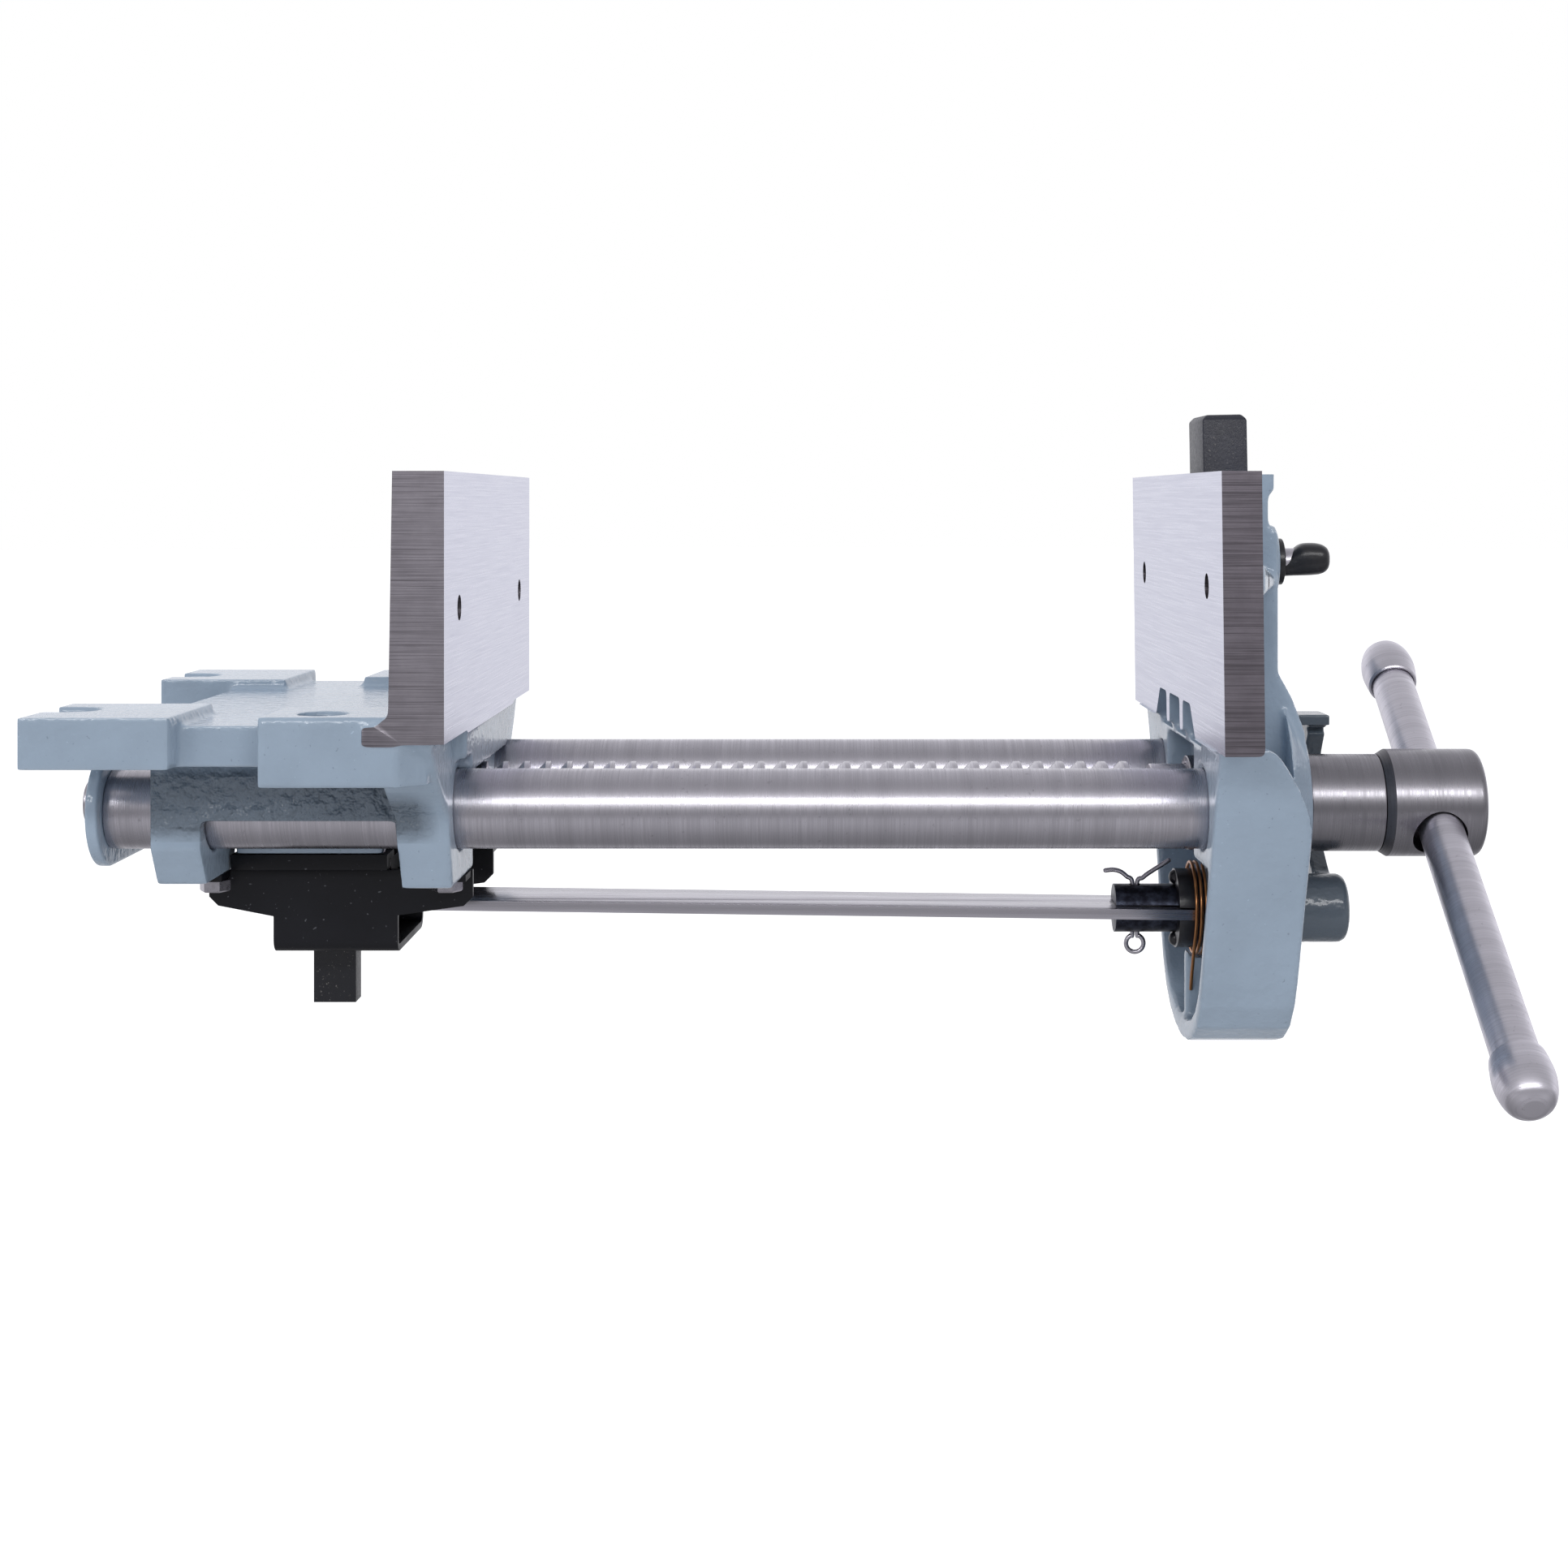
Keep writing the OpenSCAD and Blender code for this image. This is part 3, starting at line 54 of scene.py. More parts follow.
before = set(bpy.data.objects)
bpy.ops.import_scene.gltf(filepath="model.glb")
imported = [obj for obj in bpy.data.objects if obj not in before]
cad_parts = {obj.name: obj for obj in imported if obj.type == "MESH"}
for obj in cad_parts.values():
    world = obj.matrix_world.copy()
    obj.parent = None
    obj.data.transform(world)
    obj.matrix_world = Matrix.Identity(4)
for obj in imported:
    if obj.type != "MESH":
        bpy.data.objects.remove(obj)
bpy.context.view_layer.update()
MM = 0.001


def linear(hex_colour):
    """An sRGB hex colour as linear red, green and blue."""
    parts = [int(hex_colour[i:i + 2], 16) / 255 for i in (1, 3, 5)]
    return tuple(c / 12.92 if c <= 0.04045 else ((c + 0.055) / 1.055) ** 2.4 for c in parts)


def middle(node, axis):
    """Middle of a CAD node's box along an axis."""
    low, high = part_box(node)
    return (low[axis] + high[axis]) / 2


def bar_of(node, start=0.0):
    """Ends along X, measured from a start, and radius of a turned CAD node, in millimetres."""
    low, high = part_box(node)
    return (low.x - start) / MM, (high.x - start) / MM, (high.z - low.z) / 2 / MM


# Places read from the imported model
JAW_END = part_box("front_jaw")[1].y
JAW_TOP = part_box("rear_jaw")[1].z
FRONT_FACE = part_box("front_jaw")[0].x
SCREW_Z = middle("screw_sleeve", 2)
RELEASE_Z = middle("release_shaft", 2)
THUMB_Z = middle("dog_screw", 2)
ROD_Y, ROD_Z = middle("far_guide_rod", 1), middle("far_guide_rod", 2)
ON_SCREW = Matrix.Translation((FRONT_FACE, 0, SCREW_Z))

# Places of holes: across and up for the cheek holes, along and across for the pad holes
REAR_CHEEK = (63 * MM, 27.6 * MM)
FRONT_CHEEK = (62.5 * MM, 33.4 * MM)
PAD_HOLE = (-34.3 * MM, 76 * MM)
# Radii of holes: for cheek screws, in the pads, round the rods, round the screw and the release shaft
CHEEK_R, PAD_R, BORE_R = 3.5 * MM, 6.5 * MM, 11.27 * MM
SHANK_BORE_R, RELEASE_BORE_R = 11.8 * MM, 7.4 * MM
# Lower ends of the jaw plates, how far back the rear jaw's ends go, and the front plate's thickness
REAR_PLATE_LOW, REAR_FOOT_BACK = -7 * MM, -21.5 * MM
FRONT_PLATE_LOW, FRONT_PLATE_T = -10.2 * MM, 10.6 * MM
# Toe-in of the front jaw's face
JAW_LEAN = math.tan(math.radians(0.7))
# Bench dog behind the front jaw's face, the gap round it, its slot's foot, and the step down to its housing
DOG_X, DOG_T, DOG_HALF_W, DOG_LEAN = 8.7 * MM, 13 * MM, 13 * MM, math.radians(1.1)
DOG_GAP, DOG_SLOT_LOW = 0.3 * MM, -12 * MM
HOUSING_DROP = 0.1 * MM
# Tommy bar: its tilt, the places of its hole and itself on the screw, and how it hangs in the hole
TOMMY_TILT = math.radians(32.9)
TOMMY_HOLE_X, TOMMY_X, TOMMY_DROP = 76.8 * MM, 77.2 * MM, -1.08 * MM
# Reach of a cutter past the vise, how near counts as on a face, and how square as facing it
FAR, CLOSE, FACING = 0.5, 0.02 * MM, 0.99
# Cell size of the small castings, and the most triangles that a casting keeps
SMALL_VOXEL, MOST_TRIANGLES = 0.4 * MM, 150000


class ViseSizes(bpy.types.PropertyGroup):
    """Sizes of the finish"""

    casting_voxel: FloatProperty(
        name="Casting grain", description="Cell size of the remeshed castings",
        default=0.8 * MM, min=0.4 * MM, max=2 * MM, unit="LENGTH", precision=5)
    casting_rounds: IntProperty(
        name="Edge rounding", description="Smoothing passes that round the cast edges",
        default=8, min=1, max=20)
    machining: FloatProperty(
        name="Machining allowance", description="Metal that is cast on and then milled off",
        default=3 * MM, min=1 * MM, max=6 * MM, unit="LENGTH", precision=4)
    turned_sides: IntProperty(
        name="Turned sides", description="Sides of the turned pieces", default=96, min=24, max=256)
    turned_edge: FloatProperty(
        name="Turned edge", description="Radius left on the edges of turned pieces",
        default=0.5 * MM, min=0.1 * MM, max=1 * MM, unit="LENGTH", precision=5)
    lead: FloatProperty(
        name="Thread lead", description="Advance of the screw in one turn",
        default=6.35 * MM, unit="LENGTH", precision=5)
    thread_steps: IntProperty(
        name="Thread steps", description="Steps of the thread in one turn", default=48, min=16, max=96)
    wire_sides: IntProperty(
        name="Wire sides", description="Sides of the springs' and the cotter's wire",
        default=12, min=6, max=32)


class ViseColours(bpy.types.PropertyGroup):
    """Colours of the finish"""

    enamel: FloatVectorProperty(
        name="Enamel", description="Blue-grey paint of the castings",
        subtype="COLOR", default=linear("#94a4b5"), min=0, max=1)
    bare_iron: FloatVectorProperty(
        name="Bare iron", description="Milled grey iron",
        subtype="COLOR", default=linear("#a39ea6"), min=0, max=1)
    steel: FloatVectorProperty(
        name="Steel", description="Turned bright steel",
        subtype="COLOR", default=linear("#c9c6ce"), min=0, max=1)
    black: FloatVectorProperty(
        name="Black", description="Paint of the guard and finish of the dog",
        subtype="COLOR", default=linear("#0b0c13"), min=0, max=1)
    copper: FloatVectorProperty(
        name="Coppered wire", description="Coating of the release spring",
        subtype="COLOR", default=linear("#b98256"), min=0, max=1)


# Node trees
NOISE, MAPPING, BUMP = "ShaderNodeTexNoise", "ShaderNodeMapping", "ShaderNodeBump"
MATH, RANGE = "ShaderNodeMath", "ShaderNodeMapRange"
SEPARATE, COMBINE = "ShaderNodeSeparateXYZ", "ShaderNodeCombineXYZ"
# The Mix node, its settings for colours, and its sockets for them
MIX = "ShaderNodeMix"
COLOURS = {"out": 2, "data_type": "RGBA"}
FACTOR, UNDER, OVER = 0, 6, 7


def add_node(tree, kind, inputs=None, out=0, **settings):
    """Adds a node with its settings, and its inputs as values or links, and gives one output."""
    made = tree.nodes.new(kind)
    for name, value in settings.items():
        setattr(made, name, value)
    for key, value in (inputs or {}).items():
        if isinstance(value, bpy.types.NodeSocket):
            tree.links.new(value, made.inputs[key])
        else:
            made.inputs[key].default_value = value
    return made.outputs[out] if len(made.outputs) else None


def tint(colour, factor=1.0):
    """A colour made lighter or darker, with full cover."""
    return (*(min(1.0, c * factor) for c in colour[:3]), 1)


def spread(low, high, to_low, to_high):
    """The ranges that a Map Range node takes."""
    return {"From Min": low, "From Max": high, "To Min": to_low, "To Max": to_high}


def started(name):
    """An empty material, its tree and its object coordinates."""
    material = bpy.data.materials.new(name)
    material.use_nodes = True
    tree = material.node_tree
    tree.nodes.clear()
    return material, tree, add_node(tree, "ShaderNodeTexCoord", out="Object")


def finished(material, tree, **surface):
    """Ends a material with its surface, given by the shader's input names."""
    named = {key.replace("_", " "): value for key, value in surface.items()}
    shader = add_node(tree, "ShaderNodeBsdfPrincipled", named)
    add_node(tree, "ShaderNodeOutputMaterial", {"Surface": shader})
    return material


# Blue-grey stoving enamel, sprayed on sand-cast iron: glossy, with a fine orange peel and small pits
def make_enamel(name, colours, tone=1.0, recess=False):
    material, tree, place = started(name)
    enamel = tuple(tone * c for c in colours.enamel)
    patches = add_node(tree, NOISE, {"Vector": place, "Scale": 1 / (22 * MM), "Detail": 3.0})
    patches = add_node(tree, RANGE, {"Value": patches, **spread(0.35, 0.65, 0, 1)})
    pits = add_node(tree, NOISE, {"Vector": place, "Scale": 1 / (1.1 * MM), "Detail": 1.0})
    dark = add_node(tree, RANGE, {"Value": pits, **spread(0.74, 0.79, 0, 0.45)})
    pale = add_node(tree, RANGE, {"Value": pits, **spread(0.23, 0.19, 0, 0.4)})
    base = add_node(tree, MIX, {
        FACTOR: patches, UNDER: tint(enamel, 0.95), OVER: tint(enamel, 1.05)}, **COLOURS)
    base = add_node(tree, MIX, {FACTOR: dark, UNDER: base, OVER: tint(enamel, 0.45)}, **COLOURS)
    base = add_node(tree, MIX, {FACTOR: pale, UNDER: base, OVER: tint(enamel, 1.6)}, **COLOURS)

    sand = add_node(tree, NOISE, {
        "Vector": place, "Scale": 1 / (5 * MM), "Detail": 3.0, "Roughness": 0.55})
    if recess:
        depth = sand_and_shade_depth(tree, place)
        sand = add_node(tree, MATH, {0: sand, 1: depth}, operation="MULTIPLY")
        # Painted shade: the enamel is darkened on the walls under the lugs, where shade falls, and a little
        # everywhere else
        base = add_node(tree, MIX, {FACTOR: depth, UNDER: base, OVER: tint(enamel, 0.45)}, **COLOURS)
    relief = add_node(tree, BUMP, {"Height": sand, "Distance": (4 if recess else 0.2) * MM})
    peel = add_node(tree, NOISE, {"Vector": place, "Scale": 1 / (2 * MM), "Detail": 1.0})
    relief = add_node(tree, BUMP, {"Height": peel, "Distance": 0.16 * MM, "Normal": relief})
    return finished(material, tree, Base_Color=base, Roughness=0.17, IOR=1.5, Normal=relief)


def sand_and_shade_depth(tree, place):
    """Depth of the sand's grain and of the painted shade: full on the walls under the lugs, slight on the
    dressed iron.
    """
    where = tree.nodes.new(SEPARATE)
    tree.links.new(place, where.inputs[0])
    side_to_side, up = where.outputs["Y"], where.outputs["Z"]
    across = add_node(tree, MATH, {0: side_to_side}, operation="ABSOLUTE")
    # Where the grain and the painted shade start and where they are full, going in from each edge of the
    # walls
    ends, top, front, foot = (72, 66), (-15, -19), (-6, -12), (-37, -33)
    hidden = 1.0
    for value, (start, full) in ((across, ends), (up, top), (up, foot), (where.outputs["X"], front)):
        share = add_node(tree, RANGE, {"Value": value, **spread(start * MM, full * MM, 0, 1)})
        hidden = add_node(tree, MATH, {0: hidden, 1: share}, operation="MULTIPLY")
    return add_node(tree, RANGE, {"Value": hidden, **spread(0, 1, 0.08, 1)})


# The same enamel on the rear casting, where the sand's grain shows through on the walls under the lugs, and
# painted shade darkens those walls as if the lugs shaded them
def make_enamel_over_sand_with_painted_shade(name, colours):
    return make_enamel(name, colours, recess=True)


# The same enamel made darker on the trigger lever: painted shade for the shade the lever lies in behind the
# front jaw
def make_enamel_in_painted_shade(name, colours):
    return make_enamel(name, colours, tone=0.3)


# Milled grey iron: brown-grey metal with the cutter's fine level lines and soft stains
def make_milled_iron(name, colours, iron=None, wear=1.0, rough=0.42):
    material, tree, place = started(name)
    iron = iron or colours.bare_iron
    level = add_node(tree, MAPPING, {
        "Vector": place, "Scale": (1 / (45 * MM), 1 / (45 * MM), 1 / (0.4 * MM))})
    lines = add_node(tree, NOISE, {"Vector": level, "Scale": 1.0, "Detail": 3.0, "Roughness": 0.7})
    stains = add_node(tree, NOISE, {
        "Vector": place, "Scale": 1 / (9 * MM), "Detail": 5.0, "Roughness": 0.65})
    stains = add_node(tree, RANGE, {"Value": stains, **spread(0.35, 0.68, 0.3 * wear, 0)})
    scored = add_node(tree, RANGE, {"Value": lines, **spread(0.34, 0.58, 0.85 * wear, 0)})
    base = add_node(tree, MIX, {FACTOR: stains, UNDER: tint(iron), OVER: tint(iron, 0.4)}, **COLOURS)
    base = add_node(tree, MIX, {FACTOR: scored, UNDER: base, OVER: tint(iron, 0.33)}, **COLOURS)
    gloss = add_node(tree, RANGE, {"Value": lines, **spread(0.3, 0.7, rough + 0.06, rough - 0.06)})
    relief = add_node(tree, BUMP, {"Height": lines, "Distance": 0.02 * wear * MM})
    return finished(material, tree, Base_Color=base, Metallic=1.0, Roughness=gloss, Normal=relief)


# Ground grey iron of the clamping faces: pale and nearly even
def make_ground_iron(name, colours):
    return make_milled_iron(name, colours, iron=linear("#cbccdb"), wear=0.04, rough=0.3)


# The front jaw's ends, milled the same way, in a darker copy of the iron with slightly stronger marks
def make_darker_milled_iron(name, colours):
    return make_milled_iron(name, colours, iron=linear("#88828a"), wear=1.1)


# Turned and polished steel: bright metal with fine rings round its axis, bands, and handling marks
def make_turned_steel(name, colours, tone=1.0, turn=0.0, rough=0.3, ring_mm=0.4):
    material, tree, place = started(name)
    steel = colours.steel
    fine, wide = 1 / (ring_mm * MM), 1 / (60 * ring_mm * MM)
    along = add_node(tree, MAPPING, {"Vector": place, "Rotation": (turn, 0, 0)})
    ringed = add_node(tree, MAPPING, {
        "Vector": along, "Scale": (wide, fine, wide) if turn else (fine, wide, wide)})
    rings = add_node(tree, NOISE, {"Vector": ringed, "Scale": 1.0, "Detail": 3.0, "Roughness": 0.6})
    bands = add_node(tree, NOISE, {"Vector": ringed, "Scale": ring_mm / 6, "Detail": 2.0})
    marks = add_node(tree, NOISE, {
        "Vector": place, "Scale": 1 / (1.6 * MM), "Detail": 3.0, "Roughness": 0.7})
    bright = add_node(tree, RANGE, {"Value": rings, **spread(0.3, 0.7, 0, 1)})
    shadow = add_node(tree, RANGE, {"Value": bands, **spread(0.3, 0.65, 0.35, 0)})
    marks = add_node(tree, RANGE, {"Value": marks, **spread(0.64, 0.76, 0, 0.6)})
    base = add_node(tree, MIX, {
        FACTOR: bright, UNDER: tint(steel, 0.8 * tone), OVER: tint(steel, tone)}, **COLOURS)
    base = add_node(tree, MIX, {FACTOR: shadow, UNDER: base, OVER: tint(steel, 0.6 * tone)}, **COLOURS)
    base = add_node(tree, MIX, {FACTOR: marks, UNDER: base, OVER: tint(steel, 0.42 * tone)}, **COLOURS)
    gloss = add_node(tree, RANGE, {"Value": rings, **spread(0.3, 0.7, rough + 0.07, rough - 0.07)})
    relief = add_node(tree, BUMP, {"Height": rings, "Distance": 0.004 * MM})
    return finished(material, tree, Base_Color=base, Metallic=1.0, Roughness=gloss, Normal=relief)


# Turned steel of the sleeve and the head: a darker copy of the rods' steel
def make_grey_steel(name, colours):
    return make_turned_steel(name, colours, tone=0.56)


# Turned steel left from the lathe on the head's cone, with a thin brown-black oxide
def make_oxidised_steel(name, colours):
    return make_turned_steel(name, colours, tone=0.27, rough=0.42)


# The tommy bar's ground steel: its rings run round the tilted bar
def make_ground_bar(name, colours):
    return make_turned_steel(name, colours, turn=-TOMMY_TILT, rough=0.34, ring_mm=0.5, tone=1.3)


# Cold-rolled steel strip: smooth bright metal with faint lines along its length
def make_rolled_steel(name, colours):
    material, tree, place = started(name)
    steel = colours.steel
    along = add_node(tree, MAPPING, {
        "Vector": place, "Scale": (1 / (40 * MM), 1 / (0.5 * MM), 1 / (0.4 * MM))})
    lines = add_node(tree, NOISE, {"Vector": along, "Scale": 1.0, "Detail": 2.0})
    lines = add_node(tree, RANGE, {"Value": lines, **spread(0.3, 0.7, 0, 1)})
    base = add_node(tree, MIX, {FACTOR: lines, UNDER: tint(steel, 0.8), OVER: tint(steel)}, **COLOURS)
    gloss = add_node(tree, RANGE, {"Value": lines, **spread(0, 1, 0.32, 0.24)})
    return finished(material, tree, Base_Color=base, Metallic=1.0, Roughness=gloss)


# Zinc-plated steel of the small screws and pins, and drawn wire: bright and slightly cloudy
def make_plated_steel(name, colours):
    material, tree, place = started(name)
    cloud = add_node(tree, NOISE, {"Vector": place, "Scale": 1 / (1.5 * MM), "Detail": 2.0})
    base = add_node(tree, MIX, {
        FACTOR: cloud, UNDER: tint(colours.steel, 0.7), OVER: tint(colours.steel, 1.05)}, **COLOURS)
    gloss = add_node(tree, RANGE, {"Value": cloud, **spread(0.3, 0.7, 0.22, 0.36)})
    return finished(material, tree, Base_Color=base, Metallic=1.0, Roughness=gloss)


# Satin black paint on sheet steel: even and dark, with fine dust and a faint unevenness
def make_black_paint(name, colours):
    material, tree, place = started(name)
    cloud = add_node(tree, NOISE, {"Vector": place, "Scale": 1 / (14 * MM), "Detail": 4.0})
    dust = add_node(tree, NOISE, {"Vector": place, "Scale": 1 / (0.8 * MM), "Detail": 0.0})
    dust = add_node(tree, RANGE, {"Value": dust, **spread(0.82, 0.87, 0, 0.25)})
    base = add_node(tree, MIX, {
        FACTOR: cloud, UNDER: tint(colours.black, 0.7), OVER: tint(colours.black, 1.4)}, **COLOURS)
    base = add_node(tree, MIX, {FACTOR: dust, UNDER: base, OVER: tint(linear("#8d8f96"))}, **COLOURS)
    gloss = add_node(tree, RANGE, {"Value": cloud, **spread(0.3, 0.7, 0.34, 0.48)})
    peel = add_node(tree, NOISE, {"Vector": place, "Scale": 1 / (1.6 * MM), "Detail": 2.0})
    relief = add_node(tree, BUMP, {"Height": peel, "Distance": 0.04 * MM})
    return finished(material, tree, Base_Color=base, Roughness=gloss, IOR=1.38, Normal=relief)


# Black-oxidised casting: grainy skin whose high spots are rubbed to metal
def make_black_casting(name, colours, tone=1.0):
    material, tree, place = started(name)
    grain = add_node(tree, NOISE, {
        "Vector": place, "Scale": 1 / (0.9 * MM), "Detail": 3.0, "Roughness": 0.65})
    rubbed = add_node(tree, RANGE, {"Value": grain, **spread(0.63, 0.72, 0, 0.5)})
    cloud = add_node(tree, NOISE, {"Vector": place, "Scale": 1 / (8 * MM), "Detail": 2.0})
    base = add_node(tree, MIX, {
        FACTOR: cloud, UNDER: tint(colours.black, 0.8 * tone), OVER: tint(colours.black, 2 * tone)},
        **COLOURS)
    base = add_node(tree, MIX, {FACTOR: rubbed, UNDER: base, OVER: tint(linear("#96938f"))}, **COLOURS)
    gloss = add_node(tree, RANGE, {"Value": grain, **spread(0.3, 0.7, 0.34, 0.52)})
    relief = add_node(tree, BUMP, {"Height": grain, "Distance": 0.1 * MM})
    return finished(material, tree, Base_Color=base, Metallic=rubbed, Roughness=gloss, IOR=1.5, Normal=relief)


# The dog's black-oxidised skin, in a paler copy
def make_paler_black_casting(name, colours):
    return make_black_casting(name, colours, tone=3.0)


# Black-oxide turned steel: dark blue-grey metal that still shines, with thin patches in the oxide
def make_black_steel(name, colours):
    material, tree, place = started(name)
    patches = add_node(tree, NOISE, {
        "Vector": place, "Scale": 1 / (3 * MM), "Detail": 4.0, "Roughness": 0.65})
    thin = add_node(tree, RANGE, {"Value": patches, **spread(0.4, 0.7, 0, 1)})
    base = add_node(tree, MIX, {
        FACTOR: thin, UNDER: tint(linear("#25262f")), OVER: tint(linear("#454a58"))}, **COLOURS)
    gloss = add_node(tree, RANGE, {"Value": patches, **spread(0.3, 0.7, 0.44, 0.3)})
    return finished(material, tree, Base_Color=base, Metallic=1.0, Roughness=gloss)


# Moulded black nylon: satin, with a slight orange peel
def make_black_nylon(name, colours):
    material, tree, place = started(name)
    peel = add_node(tree, NOISE, {"Vector": place, "Scale": 1 / (1.5 * MM), "Detail": 1.0})
    base = add_node(tree, MIX, {
        FACTOR: peel, UNDER: tint(linear("#121216")), OVER: tint(linear("#1f1f25"))}, **COLOURS)
    relief = add_node(tree, BUMP, {"Height": peel, "Distance": 0.05 * MM})
    return finished(material, tree, Base_Color=base, Roughness=0.3, IOR=1.53, Normal=relief)


# Coppered spring wire: drawn steel wire with a thin copper wash
def make_coppered_wire(name, colours):
    material, tree, place = started(name)
    cloud = add_node(tree, NOISE, {"Vector": place, "Scale": 1 / (2 * MM), "Detail": 2.0})
    base = add_node(tree, MIX, {
        FACTOR: cloud, UNDER: tint(colours.copper, 0.6), OVER: tint(colours.copper, 1.1)}, **COLOURS)
    return finished(material, tree, Base_Color=base, Metallic=1.0, Roughness=0.3)


FINISHES = {
    "enamel_on_cast_iron": make_enamel,
    "enamel_over_sand_cast_walls": make_enamel_over_sand_with_painted_shade,
    "dark_enamel_on_cast_iron": make_enamel_in_painted_shade,
    "milled_grey_iron": make_milled_iron,
    "ground_grey_iron": make_ground_iron,
    "worn_milled_iron": make_darker_milled_iron,
    "bright_turned_steel": make_turned_steel,
    "grey_turned_steel": make_grey_steel,
    "oxidised_turned_steel": make_oxidised_steel,
    "ground_steel_bar": make_ground_bar,
    "rolled_steel_strip": make_rolled_steel,
    "zinc_plated_steel": make_plated_steel,
    "black_paint_on_sheet": make_black_paint,
    "black_oxide_casting": make_black_casting,
    "worn_black_oxide_casting": make_paler_black_casting,
    "black_oxide_steel": make_black_steel,
    "black_nylon": make_black_nylon,
    "coppered_wire": make_coppered_wire,
}


def finish_named(name):
    """The material of that name, made on first use."""
    found = bpy.data.materials.get(name)
    return found or FINISHES[name](name, bpy.context.scene.vise_colours)


# Meshes

def linked(name, data):
    """A new object in the scene."""
    made = bpy.data.objects.new(name, data)
    bpy.context.scene.collection.objects.link(made)
    return made


def put_piece(name, mesh, finishes, body, nodes, which=None, smooth_angle=35):
    """Shows a mesh as a piece that rides on a body and stands for CAD nodes.

    which tells, from a face's centre and normal, the number of its finish.
    """
    mesh.name = name
    mesh.materials.clear()
    for finish in finishes:
        mesh.materials.append(finish_named(finish))
    if which:
        for face in mesh.polygons:
            face.material_index = int(which(face.center, face.normal))
    mesh.shade_smooth()
    mesh.set_sharp_from_angle(angle=math.radians(smooth_angle))
    made = linked(name, mesh)
    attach(made, body)
    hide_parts(*nodes)
    return made


def put_turned(node, outline, place, body, finish, closed=False):
    """Shows a CAD node as a piece turned from an outline."""
    return put_piece(node + "_turned", turned(node, outline, place, closed), [finish], body, [node])


def put_skin(node, body, finish, edge_mm):
    """Shows a CAD node's own shape as a piece with its edges broken."""
    mesh = edges_broken(merged_copy(node), edge_mm)
    return put_piece(node + "_finished", mesh, [finish], body, [node])


def outward(mesh):
    """The mesh with its doubles merged and its normals outwards."""
    shape = bmesh.new()
    shape.from_mesh(mesh)
    bmesh.ops.remove_doubles(shape, verts=shape.verts, dist=1e-6)
    bmesh.ops.recalc_face_normals(shape, faces=shape.faces)
    shape.to_mesh(mesh)
    shape.free()
    return mesh


def closed_mesh(name, vertices, faces, place=None):
    """A closed mesh from points and faces, moved to its place, with its normals outwards."""
    mesh = bpy.data.meshes.new(name)
    mesh.from_pydata([tuple(v) for v in vertices], [], faces)
    if place is not None:
        mesh.transform(place)
    return outward(mesh)


def joined(*meshes):
    """One mesh from several."""
    shape = bmesh.new()
    for mesh in meshes:
        shape.from_mesh(mesh)
    made = bpy.data.meshes.new(meshes[0].name)
    shape.to_mesh(made)
    shape.free()
    return made


def rounded(outline, radius, closed=False, steps=4):
    """An outline whose corners are turned into arcs, in millimetres."""
    points = [Vector(p) for p in outline]
    made = []
    for i, corner in enumerate(points):
        before, after = points[i - 1] - corner, points[(i + 1) % len(points)] - corner
        at_end = not closed and i in (0, len(points) - 1)
        bend = 0 if at_end else math.pi - before.angle(after)
        if bend < math.radians(12):
            made.append(corner)
            continue
        reach = min(radius * math.tan(bend / 2), 0.45 * before.length, 0.45 * after.length)
        start, end = corner + before.normalized() * reach, corner + after.normalized() * reach
        made += [(1 - t) ** 2 * start + 2 * t * (1 - t) * corner + t ** 2 * end
                 for t in (k / steps for k in range(steps + 1))]
    return [tuple(p) for p in made]


def turned(name, outline, place, closed=False):
    """Turns an outline of (x, radius) in millimetres round X and puts it in its place."""
    sides = bpy.context.scene.vise_sizes.turned_sides
    angles = [2 * math.pi * k / sides for k in range(sides)]
    vertices, rings = [], []
    for x, r in outline:
        start = len(vertices)
        if r < 1e-6:
            vertices.append((x * MM, 0, 0))
            rings.append([start])
        else:
            vertices += [(x * MM, r * MM * math.cos(a), r * MM * math.sin(a)) for a in angles]
            rings.append(list(range(start, start + sides)))
    faces = []
    for low, high in list(zip(rings, rings[1:])) + ([(rings[-1], rings[0])] if closed else []):
        for k in range(sides):
            corners = [low[k % len(low)], low[(k + 1) % len(low)],
                       high[(k + 1) % len(high)], high[k % len(high)]]
            corners = [c for i, c in enumerate(corners) if c != corners[i - 1]]
            if len(corners) > 2:
                faces.append(corners)
    return closed_mesh(name, vertices, faces, place)


def smooth_route(points, steps):
    """A smooth route through points, with so many steps between each two."""
    points = [Vector(p) for p in points]
    ends = [2 * points[0] - points[1]] + points + [2 * points[-1] - points[-2]]
    made = []
    for a, b, c, d in zip(ends, ends[1:], ends[2:], ends[3:]):
        made += [0.5 * (2 * b + (c - a) * t + (2 * a - 5 * b + 4 * c - d) * t ** 2
                        + (3 * b - a - 3 * c + d) * t ** 3) for t in (k / steps for k in range(steps))]
    return made + [points[-1]]


